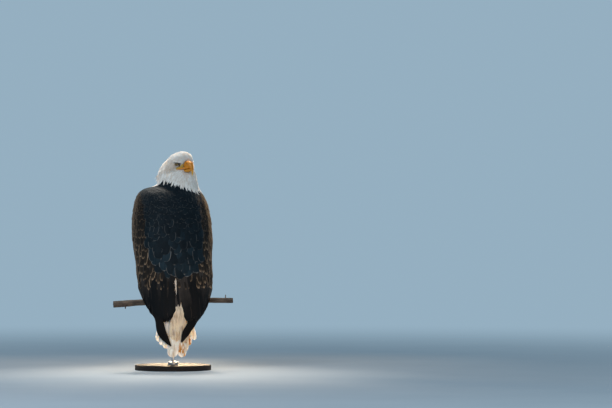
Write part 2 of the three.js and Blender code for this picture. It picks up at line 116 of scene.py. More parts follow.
def floor_paint(tree):
    """Matt emulsion: an even pale grey with soft clouds a hand wide, see-through at its far edge."""
    grain = add(tree, "TexNoise", {"Scale": per(33.3), "Detail": 4.0})
    colour = add(tree, "Mix", {0: grain.outputs[0], 6: linear("#a9b1b7"), 7: linear("#b4bbc0")},
                 data_type="RGBA")
    place = add(tree, "NewGeometry")
    away = add(tree, "VectorMath", {0: place.outputs["Position"]}, operation="LENGTH")
    near = add(tree, "MapRange", {"Value": away.outputs["Value"], "From Min": FLOOR_CLEAR,
                                  "From Max": FLOOR_GONE, "To Min": 1.0, "To Max": 0.0},
               interpolation_type="SMOOTHSTEP")
    return {"Base Color": colour.outputs[2], "Alpha": near.outputs[0], "Roughness": 1.0,
            "Specular IOR Level": 0.0}


FLOOR_SIDES = 64
ring = [2 * math.pi * i / FLOOR_SIDES for i in range(FLOOR_SIDES)]
floor = mesh_piece("floor", [(FLOOR_GONE * math.cos(a), FLOOR_GONE * math.sin(a), 0) for a in ring],
                   [range(FLOOR_SIDES)], finish("pale_floor_paint", floor_paint))

world = bpy.data.worlds.new("surround")
bpy.context.scene.world = world
world.use_nodes = True
surround = world.node_tree.nodes["Background"].inputs
surround["Color"].default_value = linear("#b4d3e8")
surround["Strength"].default_value = 0.66
bpy.context.scene.view_settings.view_transform = "Standard"


def softbox(name, place, aim, size, watts, colour, spread=180):
    """A square area light that faces its aim; spread narrows its beam, in degrees."""
    data = bpy.data.lights.new(name, "AREA")
    data.size = size
    data.energy = watts
    data.color = linear(colour)[:3]
    data.spread = math.radians(spread)
    light = bpy.data.objects.new(name, data)
    light.location = place
    light.rotation_euler = (Vector(aim) - Vector(place)).to_track_quat("-Z", "Y").to_euler()
    light.visible_camera = False
    bpy.context.scene.collection.objects.link(light)


# Where each light stands and what it faces, in metres, its width, its power in watts and its colour.
softbox("key", (-2.4, -3.6, 2.6), (0, 0, 0.6), 2.4, 78, "#f6f8ff")
softbox("rim_right", (1.8, 2.2, 1.2), (0, 0, 0.66), 0.8, 5.0, "#ffcf96", spread=60)
softbox("rim_left", (-1.8, 2.3, 1.2), (0, 0, 0.66), 0.8, 4.0, "#ffe0bd", spread=60)
softbox("rim_top", (0.1, 0.8, 2.3), (0, 0, 0.78), 0.4, 3.2, "#fff3e2", spread=40)
softbox("glow_low", (0.2, 1.5, 0.35), (0, -0.13, 0.12), 0.3, 1.6, "#ffdfb4", spread=40)
softbox("tail_fill", (0.8, -2.6, 0.5), (0, -0.14, 0.12), 0.5, 0.32, "#ffd2a0", spread=16)

# The camera stands level with the bird, far off, a little to the left of square behind it.
VIEW_TURN = math.radians(-8)
VIEW_AIM = Vector((0.516, -0.0725, 0.650))
VIEW_DISTANCE = 14.0
VIEW_WIDTH = 2.399  # what the view spans at the bird
SENSOR = 36.0
camera = bpy.data.objects.new("camera", bpy.data.cameras.new("camera"))
camera.data.sensor_width = SENSOR
camera.data.lens = SENSOR * VIEW_DISTANCE / VIEW_WIDTH
looking = Vector((-math.sin(VIEW_TURN), math.cos(VIEW_TURN), 0))
camera.location = VIEW_AIM - looking * VIEW_DISTANCE
camera.rotation_euler = looking.to_track_quat("-Z", "Y").to_euler()
bpy.context.scene.collection.objects.link(camera)
bpy.context.scene.camera = camera


# ---- The stand ----
# A turned wooden disc under black lacquer, with a bright steel rod that a collar holds at its foot
# and a round saddle joins to the branch.

def turned(name, profile, material, sides=96):
    """A body turned about the upright axis from (radius, height) pairs, its ends closed."""
    angles = np.linspace(0, 2 * math.pi, sides, endpoint=False)
    points = [(r * math.cos(a), r * math.sin(a), z) for r, z in profile for a in angles]
    faces = [(i * sides + j, i * sides + (j + 1) % sides,
              (i + 1) * sides + (j + 1) % sides, (i + 1) * sides + j)
             for i in range(len(profile) - 1) for j in range(sides)]
    faces += [range(sides - 1, -1, -1), [(len(profile) - 1) * sides + j for j in range(sides)]]
    piece = mesh_piece(name, points, faces, material)
    piece.data.shade_smooth()
    piece.data.set_sharp_from_angle(angle=math.radians(35))
    return piece


def bar_profile(low, high, radius, edge):
    """The profile of a plain round bar with its two rims softened."""
    return [(radius - edge, low), (radius, low + edge), (radius, high - edge), (radius - edge, high)]


def lacquer(tree):
    """Lacquer over wood: near black, rubbed to a dull satin, with some orange peel and fine dust."""
    place = add(tree, "TexCoord").outputs["Object"]
    dust = add(tree, "TexNoise", {"Vector": place, "Scale": per(1.11), "Detail": 3.0})
    peel = add(tree, "TexNoise", {"Vector": place, "Scale": per(3.85), "Detail": 2.0})
    colour = add(tree, "Mix", {0: dust.outputs[0], 6: linear("#181615"), 7: linear("#272422")},
                 data_type="RGBA")
    bump = add(tree, "Bump", {"Height": peel.outputs[0], "Strength": 0.12, "Distance": 0.2 * MM})
    rough = add(tree, "MapRange", {"Value": dust.outputs[0], "To Min": 0.66, "To Max": 0.78})
    return {"Base Color": colour.outputs[2], "Roughness": rough.outputs[0],
            "Normal": bump.outputs[0], "Specular IOR Level": 0.12}


def brushed_steel(tree):
    """Steel brushed round the rod: fine level scratches a third of a millimetre apart."""
    place = add(tree, "TexCoord").outputs["Object"]
    stretch = add(tree, "Mapping", {"Vector": place, "Scale": (per(16.7), per(16.7), per(0.333))})
    lines = add(tree, "TexNoise", {"Vector": stretch.outputs[0], "Scale": 1.0, "Detail": 3.0})
    bump = add(tree, "Bump", {"Height": lines.outputs[0], "Strength": 0.15, "Distance": 0.1 * MM})
    rough = add(tree, "MapRange", {"Value": lines.outputs[0], "To Min": 0.24, "To Max": 0.42})
    return {"Base Color": linear("#b9bcbf"), "Metallic": 1.0, "Roughness": rough.outputs[0],
            "Normal": bump.outputs[0]}


BASE_LIP = 3 * MM  # how round its upper edge is
BASE_CHAMFER = 1 * MM  # and how far its lower one is cut off
low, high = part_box("stand_base")
base_radius = (high.x - low.x) / 2
base_profile = [(base_radius - BASE_CHAMFER, low.z), (base_radius, low.z + BASE_CHAMFER)]
base_profile += [(base_radius - BASE_LIP * (1 - math.cos(a)), high.z - BASE_LIP * (1 - math.sin(a)))
                 for a in np.linspace(0, math.pi / 2, 6)]
base = turned("stand_base_disc", base_profile, finish("satin_lacquer", lacquer), sides=160)
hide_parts("stand_base")
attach(base, "root")

steel = finish("brushed_steel", brushed_steel)
RIM = 0.6 * MM  # how much the steel's edges are broken
BORE_PLAY = 0.3 * MM
low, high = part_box("stand_rod")
rod = turned("stand_rod_bar", bar_profile(low.z, high.z, high.x, RIM), steel)
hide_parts("stand_rod")
rod_radius = high.x
low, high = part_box("stand_collar")
collar_bore = rod_radius + BORE_PLAY
collar_profile = [(collar_bore, low.z), *bar_profile(low.z, high.z, high.x, 2 * RIM), (collar_bore, high.z)]
collar = turned("stand_collar_ring", collar_profile, steel)
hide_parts("stand_collar")
for piece in (rod, collar):
    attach(piece, "root")
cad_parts["stand_saddle"].data.materials.clear()
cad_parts["stand_saddle"].data.materials.append(steel)


# ---- The branch ----
# A cut length of dead, weathered conifer limb: grey bark, split and flaking along the grain.

BRANCH_HEIGHT = 270 * MM  # its axis above the floor
BRANCH_TURN, BRANCH_RISE = math.radians(-8), math.radians(1.9)


def welded(*names):
    """The points and triangles of these CAD nodes, with the points that coincide made one."""
    points, faces, count = [], [], 0
    for name in names:
        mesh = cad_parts[name].data
        corners = np.array([v.co for v in mesh.vertices])
        triangles = np.array([p.vertices for p in mesh.polygons])
        _, first, same = np.unique(np.round(corners, 6), axis=0, return_index=True, return_inverse=True)
        points.append(corners[first])
        faces.append(same.reshape(-1)[triangles] + count)
        count += len(first)
    return np.vstack(points), np.vstack(faces)


def evened(name, points, faces, grid, rounds, material=None):
    """One closed surface over these bodies, on an even grid, softened by that many rounds."""
    piece = mesh_piece(name, points, faces)
    even = piece.modifiers.new("even", "REMESH")
    even.mode = "VOXEL"
    even.voxel_size = grid
    soften = piece.modifiers.new("soften", "SMOOTH")
    soften.iterations = rounds
    seen = piece.evaluated_get(bpy.context.evaluated_depsgraph_get())
    piece.data = bpy.data.meshes.new_from_object(seen)
    piece.modifiers.clear()
    piece.data.materials.clear()
    if material:
        piece.data.materials.append(material)
    piece.data.shade_smooth()
    return piece


def places_of(piece):
    """A piece's points and their normals, as arrays."""
    points = np.empty(3 * len(piece.data.vertices))
    normals = np.empty_like(points)
    piece.data.vertices.foreach_get("co", points)
    piece.data.vertex_normals.foreach_get("vector", normals)
    return points.reshape(-1, 3), normals.reshape(-1, 3)


def reshape(piece, points):
    """Gives a piece these points in place of its own."""
    piece.data.vertices.foreach_set("co", np.asarray(points, float).ravel())
    piece.data.update()


def smoothstep(x, start, end):
    """0 up to start, 1 from end on, and a smooth rise between them."""
    t = np.clip((np.asarray(x, float) - start) / (end - start), 0, 1)
    return t * t * (3 - 2 * t)


def waver(points, scale, seed=0.0):
    """Smooth noise from -1 to 1 at each point; scale is the size of its features, one per axis."""
    stretched = np.asarray(points) / np.asarray(scale) + seed
    return np.array([noise.noise(Vector(p)) for p in stretched])


def weathered_bark(tree):
    """Dead bark: dull grey-brown, split along the grain with painted shade in the splits, silvery where the
    sun has bleached it.
    """
    place = add(tree, "TexCoord").outputs["Object"]
    along = add(tree, "Mapping", {"Vector": place, "Rotation": (0.0, BRANCH_RISE, -BRANCH_TURN),
                                  "Scale": (0.12, 1.0, 1.0)})
    sway = add(tree, "TexNoise", {"Vector": place, "Scale": per(22.2), "Detail": 3.0})
    bent = add(tree, "VectorMath", {0: sway.outputs["Color"], 1: (0.0, 6 * MM, 6 * MM)},
               operation="MULTIPLY")
    swayed = add(tree, "VectorMath", {0: along.outputs[0], 1: bent.outputs[0]}, operation="ADD")
    plates = add(tree, "TexNoise", {"Vector": swayed.outputs[0], "Scale": per(4.76), "Detail": 6.0,
                                    "Roughness": 0.65})
    cracks = add(tree, "TexVoronoi", {"Vector": swayed.outputs[0], "Scale": per(3.85)},
                 feature="DISTANCE_TO_EDGE")
    fibre = add(tree, "TexNoise", {"Vector": swayed.outputs[0], "Scale": per(0.909), "Detail": 3.0})
    bleach = add(tree, "TexNoise", {"Vector": place, "Scale": per(35.7), "Detail": 4.0})
    brown = add(tree, "Mix", {0: plates.outputs[0], 6: linear("#241c16"), 7: linear("#5a4c41")},
                data_type="RGBA")
    bleached = add(tree, "MapRange", {"Value": bleach.outputs[0], "From Min": 0.45, "From Max": 0.7,
                                      "To Max": 0.6})
    tone = add(tree, "Mix", {0: bleached.outputs[0], 6: brown.outputs[2], 7: linear("#6f6459")},
               data_type="RGBA")
    # The splits are painted dark: painted shade in the cracks, over the relief that sinks there.
    gap = add(tree, "MapRange", {"Value": cracks.outputs[0], "From Max": 0.08, "To Min": 0.5,
                                 "To Max": 0.0})
    deep = add(tree, "Mix", {0: gap.outputs[0], 6: tone.outputs[2], 7: linear("#241d19")},
               data_type="RGBA")
    height = add(tree, "Math", {0: plates.outputs[0], 1: fibre.outputs[0]}, operation="ADD")
    relief = add(tree, "Math", {0: height.outputs[0], 1: gap.outputs[0]}, operation="SUBTRACT")
    bump = add(tree, "Bump", {"Height": relief.outputs[0], "Strength": 0.8, "Distance": 0.8 * MM})
    return {"Base Color": deep.outputs[2], "Roughness": 0.88, "Normal": bump.outputs[0]}


BARK_GRID = 1.3 * MM
BARK_ROUNDS = 8
RIDGE_RISE, CROOK_RISE, BARK_SUNK = 0.7 * MM, 0.5 * MM, 0.3 * MM
bark = finish("weathered_bark", weathered_bark)
branch = evened("perch_bark", *welded("perch_branch"), BARK_GRID, BARK_ROUNDS, bark)
points, normals = places_of(branch)
turn = np.array([[math.cos(BRANCH_TURN), -math.sin(BRANCH_TURN), 0],
                 [math.sin(BRANCH_TURN), math.cos(BRANCH_TURN), 0], [0, 0, 1]])
grain = points @ turn  # with the grain along X
ridges = waver(grain, (38 * MM, 5 * MM, 5 * MM)) + 0.5 * waver(grain, (14 * MM, 2.4 * MM, 2.4 * MM), 7)
crook = waver(grain, (60 * MM, 30 * MM, 30 * MM), 3)
reshape(branch, points + normals * (RIDGE_RISE * ridges + CROOK_RISE * crook - BARK_SUNK)[:, None])
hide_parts("perch_branch")
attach(branch, "root")


# ---- The skin ----
# One closed hide over head, neck, trunk, wings and thighs, stretched on the mannikin in one piece,
# so that it shows no seam. It lies under the plumage and carries its colours.

FLESH = ("head", "neck", "trunk", "wing_left", "wing_right", "thigh_left", "thigh_right")
SKIN_GRID = 3 * MM
LIE_ROUNDS = 14

ON_BRANCH = np.array([0, 0, BRANCH_HEIGHT])  # places that are given above the branch's axis add this
HEAD_PLACE = np.array([41.7, 2, 536]) * MM + ON_BRANCH  # between the eyes
HEAD_TURN = math.radians(-148)  # the bill points back over the right shoulder
# The head's own axes as rows: right, forward and up.
HEAD_AXES = np.array([[math.cos(HEAD_TURN), math.sin(HEAD_TURN), 0],
                      [-math.sin(HEAD_TURN), math.cos(HEAD_TURN), 0], [0, 0, 1]])


def in_head(points):
    """Row-frame points in the head's own frame, +Y towards the bill, in metres."""
    return (np.asarray(points) - HEAD_PLACE) @ HEAD_AXES.T


def from_head(points):
    """Points of the head's own frame in the row frame."""
    return np.asarray(points) @ HEAD_AXES + HEAD_PLACE


NECK_MIDDLE = np.array([17, 25]) * MM
COLLAR = {"height": 438 * MM, "behind": 22 * MM, "left": 16 * MM, "breast": -40 * MM}


def collar_height(points):
    """The height where white gives way to brown: highest behind, lowest on the breast."""
    x, y = (points[:, :2] - NECK_MIDDLE).T
    round_neck = np.arctan2(y, x)
    behind, right = -np.sin(round_neck), np.cos(round_neck)
    rise = COLLAR["behind"] * np.maximum(behind, 0) * (1 - right)
    rise += COLLAR["left"] * np.maximum(-right, 0) + COLLAR["breast"] * np.maximum(-behind, 0)
    return BRANCH_HEIGHT + COLLAR["height"] + rise


def skin_colour(tree):
    """Bare hide: white under the head's feathers, dusky brown under the rest."""
    white = add(tree, "Attribute", attribute_name="white")
    grain = add(tree, "TexNoise", {"Scale": per(16.7), "Detail": 5.0})
    pale = add(tree, "Mix", {0: grain.outputs[0], 6: linear("#c9c4bb"), 7: linear("#e4e0d8")},
               data_type="RGBA")
    dark = add(tree, "Mix", {0: grain.outputs[0], 6: linear("#17130f"), 7: linear("#2a221c")},
               data_type="RGBA")
    colour = add(tree, "Mix", {0: white.outputs["Fac"], 6: dark.outputs[2], 7: pale.outputs[2]},
                 data_type="RGBA")
    bump = add(tree, "Bump", {"Height": grain.outputs[0], "Strength": 0.4, "Distance": 1 * MM})
    return {"Base Color": colour.outputs[2], "Roughness": 0.85, "Normal": bump.outputs[0]}


skin = evened("skin", *welded(*FLESH), SKIN_GRID, LIE_ROUNDS, finish("bare_hide", skin_colour))


def eased(points, edges, share, rounds):
    """Points drawn towards the middle of their neighbours, each by its share, that many times."""
    here, there = np.concatenate([edges, edges[:, ::-1]]).T
    count = np.bincount(here, minlength=len(points))[:, None]
    for _ in range(rounds):
        drawn = np.stack([np.bincount(here, points[there, k], len(points)) for k in range(3)], 1)
        points = points + (drawn / count - points) * share[:, None]
    return points


lie_points, lie_normals = places_of(skin)
edges = np.empty(2 * len(skin.data.edges), int)
skin.data.edges.foreach_get("vertices", edges)
edges = edges.reshape(-1, 2)
local = in_head(lie_points)
nape = smoothstep(-local[:, 1], 5 * MM, 30 * MM) * smoothstep(local[:, 2], -95 * MM, -55 * MM)
height = lie_points[:, 2] - BRANCH_HEIGHT
back = smoothstep(-lie_points[:, 1], -70 * MM, -10 * MM)
back *= smoothstep(height, 95 * MM, 150 * MM) * smoothstep(-height, -480 * MM, -440 * MM)
EASE = 0.5
reshape(skin, eased(lie_points, edges, EASE * np.maximum(nape, back), 80))
lie_points, lie_normals = places_of(skin)  # the plumage's outside, before the skin sinks below it
lie_faces = [tuple(p.vertices) for p in skin.data.polygons]
lie_tree = BVHTree.FromPolygons([Vector(p) for p in lie_points], lie_faces)
face_normals = np.array([lie_normals[list(f)].sum(0) for f in lie_faces])
face_normals /= np.linalg.norm(face_normals, axis=1, keepdims=True)

COAT_DEPTH = 3.2 * MM
FACE_DEPTH = 1.4 * MM
near_bill = smoothstep(in_head(lie_points)[:, 1], -30 * MM, 25 * MM)
on_face = near_bill * (lie_points[:, 2] > HEAD_PLACE[2] - 60 * MM)
depth = COAT_DEPTH + (FACE_DEPTH - COAT_DEPTH) * on_face
low_end = EASE * smoothstep(-height, 0, 35 * MM)  # where stiff feathers stand free of the hide
reshape(skin, eased(lie_points - lie_normals * depth[:, None], edges, low_end, 60))
NODE_TREES = {name: BVHTree.FromPolygons(*(part.tolist() for part in welded(name))) for name in FLESH}


def node_under(points):
    """The name of the flesh node that each point lies on."""
    names = list(NODE_TREES)
    gaps = [[tree.find_nearest(Vector(p))[3] for p in points] for tree in NODE_TREES.values()]
    return np.array(names)[np.argmin(gaps, axis=0)]


TAIL_WHITE = BRANCH_HEIGHT - 8 * MM
white_skin = lie_points[:, 2] > collar_height(lie_points)
low = np.flatnonzero(lie_points[:, 2] < TAIL_WHITE)
white_skin[low] = node_under(lie_points[low]) == "trunk"
white = skin.data.attributes.new("white", "FLOAT", "POINT")
white.data.foreach_set("value", white_skin.astype(np.float32))
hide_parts(*FLESH)
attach(skin, "root")


# ---- How feathers are made and laid ----
# A feather is a thin closed blade with a raised shaft, narrow at its quill. Each is combed along the
# body from its root, sinks into the coat at the root and rides over its neighbours at the tip.

def unit(vectors):
    """These vectors at a length of one."""
    length = np.linalg.norm(vectors, axis=-1, keepdims=True)
    return vectors / np.maximum(length, 1e-9)


def cast_in(origins, ways, reach=0.4):
    """Where rays that come in from outside towards the origins meet the coat: points, normals, hits."""
    points, normals, hits = [], [], []
    for origin, way in zip(origins, ways):
        place, _, face, _ = lie_tree.ray_cast(Vector(origin + way * reach), Vector(-way), reach)
        hits.append(place is not None)
        points.append(place if place else origin)
        normals.append(face_normals[face] if place else way)
    return np.array(points), np.array(normals), np.array(hits)


MOST_SLIP, MOST_DIP = 0.35, 0.3  # shares of a step, past which a feather leaves the surface


def combed(roots, normals, lengths, turns, flow, steps, fold):
    """Each feather's line over the coat from its root, as (feather, step, xyz), with its normals and its
    ways. It bridges a dip that its stiffness won't follow. One whose face would turn past fold, a
    cosine, lies straight instead."""
    lines, ups, ways = [roots], [normals], []
    free = np.zeros(len(roots), bool)
    stride = (lengths / steps)[:, None]
    for _ in range(steps):
        place, up = lines[-1], ups[-1]
        way = unit(flow(place))
        way = unit(way - up * (way * up).sum(1, keepdims=True))
        if ways:
            way = np.where(free[:, None], ways[-1], way)
        else:
            way = way * np.cos(turns)[:, None] + np.cross(up, way) * np.sin(turns)[:, None]
        ahead = place + way * stride
        found = [lie_tree.find_nearest(Vector(p)) for p in ahead]
        settled = np.array([f[0] for f in found])
        free = free | (((settled - ahead) * way).sum(1) < -MOST_SLIP * stride[:, 0])
        free = free | (((settled - ahead) * up).sum(1) < -MOST_DIP * stride[:, 0])
        next_up = face_normals[[f[2] for f in found]]
        lines.append(np.where(free[:, None], ahead, settled))
        ups.append(np.where(free[:, None], up, unit(0.5 * up + next_up)))
        ways.append(way)
    ways.append(ways[-1])
    lines, ups, ways = np.stack(lines, 1), np.stack(ups, 1), np.stack(ways, 1)
    folded = (ups[:, 0] * ups[:, -1]).sum(1) < fold
    along = np.arange(steps + 1)[None, :, None] * stride[:, :, None]
    lines[folded] = (lines[:, :1] + ways[:, :1] * along)[folded]
    ups[folded], ways[folded] = ups[folded, :1], ways[folded, :1]
    return lines, ups, ways


def blades(name, lines, ups, sides, halves, material, *, roots_uv, patch, columns=3, camber=0.12,
           thick=0.35 * MM, tones=None, fray=0.0, seed=0, hollow=False):
    """One mesh of many feathers. lines, ups and sides are (feather, row, xyz); halves are the half
    widths (feather, row, 2), left and right of the shaft. Each feather is closed; hollow gives it an
    underside that follows its camber."""
    rng = np.random.default_rng(seed)
    count, rows = lines.shape[:2]
    along = np.linspace(0, 1, rows)
    across = np.linspace(-1, 1, columns)
    half = np.where(across[None, None, :] < 0, halves[:, :, :1], halves[:, :, 1:])
    width = half.mean(2)[:, :, None]
    ridge = thick * (1 - np.abs(across)) ** 1.5
    arch = camber * width * (1 - across ** 2) + ridge
    rise = arch[..., None] * ups[:, :, None, :]
    top = lines[:, :, None, :] + sides[:, :, None, :] * (half * across)[..., None] + rise
    way = unit(lines[:, -1] - lines[:, -2])
    length = np.linalg.norm(lines[:, -1] - lines[:, 0], axis=1)
    ragged = rng.uniform(-1, 0.3, (count, columns)) * fray * length[:, None]
    top += (ragged[:, None, :] * (along ** 8)[None, :, None])[..., None] * way[:, None, None, :]
    loop = top
    u = (across + 1) / 2
    if hollow:
        under = top[:, :, -2:0:-1] - thick * ups[:, :, None, :]
        loop = np.concatenate([top, under], 2)
        u = np.concatenate([u, u[-2:0:-1]])
    ring = loop.shape[2]
    points = loop.reshape(-1, 3)
    grid = np.arange(count * rows * ring).reshape(count, rows, ring)
    a, b = grid[:, :-1], grid[:, 1:]
    quads = np.stack([a, np.roll(a, -1, 2), np.roll(b, -1, 2), b], -1).reshape(-1, 4)
    caps = np.concatenate([grid[:, 0, ::-1], grid[:, -1]])
    mesh = bpy.data.meshes.new(name)
    mesh.vertices.add(len(points))
    mesh.vertices.foreach_set("co", points.ravel())
    corners = np.concatenate([quads.ravel(), caps.ravel()])
    sizes = np.concatenate([np.full(len(quads), 4), np.full(len(caps), ring)])
    mesh.loops.add(len(corners))
    mesh.loops.foreach_set("vertex_index", corners)
    mesh.polygons.add(len(sizes))
    mesh.polygons.foreach_set("loop_start", np.concatenate([[0], np.cumsum(sizes)[:-1]]))
    mesh.update(calc_edges=True)
    place = np.stack(np.broadcast_arrays(u[None, None, :], along[None, :, None]), -1)
    place = np.broadcast_to(place, (count, rows, ring, 2)).reshape(-1, 2)
    bake = np.repeat(roots_uv, rows * ring, axis=0) + (place - 0.5) * patch
    mesh.uv_layers.new(name="vane").data.foreach_set("uv", place[corners].ravel())
    mesh.uv_layers.new(name="OFBake").data.foreach_set("uv", bake[corners].ravel())
    tone = rng.random(count) if tones is None else tones
    tone = np.repeat(tone, rows * ring).astype(np.float32)
    mesh.attributes.new("tone", "FLOAT", "POINT").data.foreach_set("value", tone)
    mesh.materials.append(material)
    mesh.shade_smooth()
    mesh.set_sharp_from_angle(angle=math.radians(50))
    mesh.validate()
    piece = bpy.data.objects.new(name, mesh)
    bpy.context.scene.collection.objects.link(piece)
    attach(piece, "root")
    return piece


def unwrap(points, centre, low, high, margin=0.03):
    """Each root's place on the body unrolled round its upright axis, inside the unit square."""
    away = points[:, :2] - np.asarray(centre)
    u = np.arctan2(away[:, 1], away[:, 0]) / (2 * math.pi) + 0.5
    v = (points[:, 2] - low) / (high - low)
    return margin + (1 - 2 * margin) * np.clip(np.stack([u, v], 1), 0, 1)


def from_quill(t, quill, broad):
    """How a vane widens from its quill's width at the root to its whole width at broad."""
    return quill + (1 - quill) * smoothstep(t, 0, broad)


def to_tip(t, start, power):
    """How far a vane has turned in from start, 0, to its tip, 1; a high power makes a blunter tip."""
    return np.clip((t - start) / (1 - start), 0, 1) ** power


def round_vane(t):
    """Half width of a body feather down its length: a narrow quill, then broad, with a round end."""
    return from_quill(t, 0.25, 0.45) * np.sqrt(1.003 - to_tip(t, 0.62, 2))


def pointed_vane(t):
    """Half width of a hackle: widest above its middle, drawn out to a point."""
    return from_quill(t, 0.35, 0.35) * (1.02 - to_tip(t, 0.3, 1.7))


def coat(name, roots, normals, flow, lengths, widths, material, *, shape, steps, columns, lift, sink,
         roots_uv, patch=0.003, turn=0.12, camber=0.12, thick=0.35 * MM, fray=0.05, roll=0.1, seed=0,
         tones=None, fold=-1.0):
    """Lays one feather from every root, combed by flow, and makes them one piece. The root sinks into
    the coat by sink and the tip rises by lift."""
    rng = np.random.default_rng(seed)
    count = len(roots)
    turns = rng.normal(0, turn, count)
    lines, ups, ways = combed(roots, normals, lengths, turns, flow, steps, fold)
    even = np.linspace(0, 1, steps + 1)
    t = 1 - (1 - even) ** 1.35  # rows crowd towards the tip, where the outline turns
    spread = [np.stack([np.interp(t, even, grid[i, :, k]) for i in range(count)])
              for grid in (lines, ups, ways) for k in range(3)]
    lines, ups, ways = (np.stack(spread[i:i + 3], -1) for i in (0, 3, 6))
    ups, ways = unit(ups), unit(ways)
    lift = np.broadcast_to(lift, count) * rng.uniform(0.6, 1.4, count)
    height = -sink + (sink + lift[:, None]) * (t ** 0.8)[None, :]
    lines = lines + ups * height[..., None]
    sides = unit(np.cross(ways, ups))
    rolled = rng.normal(0, roll, count)[:, None, None]
    cosine, sine = np.cos(rolled), np.sin(rolled)
    sides, ups = sides * cosine + ups * sine, ups * cosine - sides * sine
    halves = widths[:, None, None] / 2 * shape(t)[None, :, None] * np.ones(2)
    return blades(name, lines, ups, sides, halves, material, roots_uv=roots_uv, patch=patch,
                  columns=columns, camber=camber, thick=thick, fray=fray, seed=seed, tones=tones)


THROUGH_FEATHER = (1.0, 0.8, 0.6)  # how far red, green and blue light pass through keratin, relatively


def plumage(name, dark, light, edge, *, margin, barbs, rough, sheen, sheen_tint="#ffffff", edge_share=1.0,
            fresh=1.0, mottle=0.35, gloss=0.2, fade=0.0, glow=0.0, barb_gap_shade=0.8):
    """Keratin web: dull and faintly velvety, between two tones from feather to feather, with a paler
    worn margin, a shaft line and slanting barbs. barbs is how many show down a feather, drawn coarser
    than real ones; fade darkens the web from root to tip, fresh is the share of edge that an unworn
    feather shows, and glow lets light through a thin pale vane. The gaps between barbs are darkened
    as painted shade, by as much as the last argument sets, and their crests lifted a little as painted
    highlight."""
    def inputs(tree):
        vane = add(tree, "UVMap", uv_map="vane")
        split = add(tree, "SeparateXYZ", {0: vane.outputs[0]})
        centred = add(tree, "MapRange", {"Value": split.outputs[0], "To Min": -1.0, "To Max": 1.0})
        off = add(tree, "Math", {0: centred.outputs[0]}, operation="ABSOLUTE")
        slant = add(tree, "Math", {0: off.outputs[0], 1: -0.22, 2: split.outputs[1]},
                    operation="MULTIPLY_ADD")
        tone = add(tree, "Attribute", attribute_name="tone")
        row = add(tree, "CombineXYZ", {0: slant.outputs[0], 1: tone.outputs["Fac"]})
        barb = add(tree, "TexWave", {"Vector": row.outputs[0], "Scale": barbs / math.pi,
                                     "Distortion": 1.2, "Detail": 2.0, "Detail Scale": 2.0})
        place = add(tree, "TexCoord").outputs["Object"]
        cloud = add(tree, "TexNoise", {"Vector": place, "Scale": per(26.3), "Detail": 4.0})
        mixed = add(tree, "Math", {0: cloud.outputs[0], 1: mottle, 2: tone.outputs["Fac"]},
                    operation="MULTIPLY_ADD")
        mixed = add(tree, "Math", {0: split.outputs[1], 1: -fade, 2: mixed.outputs[0]},
                    operation="MULTIPLY_ADD")
        share = add(tree, "MapRange", {"Value": mixed.outputs[0], "From Max": 1.0 + mottle - fade})
        web = add(tree, "Mix", {0: share.outputs[0], 6: linear(dark), 7: linear(light)}, data_type="RGBA")
        rim = add(tree, "Math", {0: off.outputs[0], 1: split.outputs[1]}, operation="MAXIMUM")
        worn = add(tree, "TexNoise", {"Vector": place, "Scale": per(6.25), "Detail": 2.0})
        start = add(tree, "MapRange", {"Value": worn.outputs[0], "To Min": 1.04 - margin,
                                       "To Max": 0.96 - margin / 2})
        age = add(tree, "MapRange", {"Value": tone.outputs["Fac"], "To Min": fresh * edge_share,
                                     "To Max": edge_share})
        pale = add(tree, "MapRange", {"Value": rim.outputs[0], "From Min": start.outputs[0],
                                      "From Max": 1.02, "To Max": age.outputs[0]},
                   interpolation_type="SMOOTHSTEP")
        edged = add(tree, "Mix", {0: pale.outputs[0], 6: web.outputs[2], 7: linear(edge)},
                    data_type="RGBA")
        shaft = add(tree, "MapRange", {"Value": off.outputs[0], "From Min": 0.03, "From Max": 0.09,
                                       "To Min": 0.35, "To Max": 0.0})
        lined = add(tree, "Mix", {0: shaft.outputs[0], 6: edged.outputs[2], 7: linear(dark)},
                    data_type="RGBA")
        # Painted shade in the gaps between barbs, and a faint painted highlight on their crests.
        shade = add(tree, "MapRange", {"Value": barb.outputs["Fac"], "To Min": barb_gap_shade, "To Max": 1.08})
        barb_shaded = add(tree, "Mix", {0: 1.0, 6: lined.outputs[2], 7: shade.outputs[0]}, data_type="RGBA",
                     blend_type="MULTIPLY")
        bump = add(tree, "Bump", {"Height": barb.outputs["Fac"], "Strength": 0.35, "Distance": 0.3 * MM})
        return {"Base Color": barb_shaded.outputs[2], "Roughness": rough, "Normal": bump.outputs[0],
                "Specular IOR Level": gloss, "Sheen Weight": sheen, "Sheen Roughness": 0.45,
                "Sheen Tint": linear(sheen_tint), "Subsurface Weight": glow,
                "Subsurface Radius": THROUGH_FEATHER, "Subsurface Scale": 2 * MM}
    return finish(name, inputs)


# ---- The white head and neck ----
# Short lancet feathers on face and crown lengthen to the pointed hackles of nape and throat, which
# end in a ragged edge over the brown. Each is set by its quill, the lowest row first.

white_feather = plumage("white_hackle", "#c0a283", "#f7f3ec", "#fffefc", margin=0.3, barbs=22, rough=0.75,
                        sheen=0.5, mottle=0.3, glow=0.08, barb_gap_shade=0.93)

HEAD_CENTRE = np.array([0, -16, 2]) * MM
EYE_PLACE = np.array([31, 1.5, 0]) * MM
BILL_MIDDLE = np.array([0, 52, 4]) * MM  # the face's feathers lie away from here
HACKLE_FLARE = 0.45  # how far the lowest hackles stand outward, against down


def head_flow(points):
    """Back from the bill over the head, and down once past it."""
    local = in_head(points)
    away = unit(local - BILL_MIDDLE)
    down = smoothstep(-local[:, 2] * 0.9 - local[:, 1], -25 * MM, 62 * MM)[:, None]
    ways = away * (1 - down) + np.array([0, -0.15, -1]) * down
    out = unit(points[:, :2] - NECK_MIDDLE)
    spread = np.hstack([out, np.zeros((len(points), 1))])
    low = smoothstep(HEAD_PLACE[2] - points[:, 2], 20 * MM, 110 * MM)[:, None]
    return ways @ HEAD_AXES + HACKLE_FLARE * low * spread


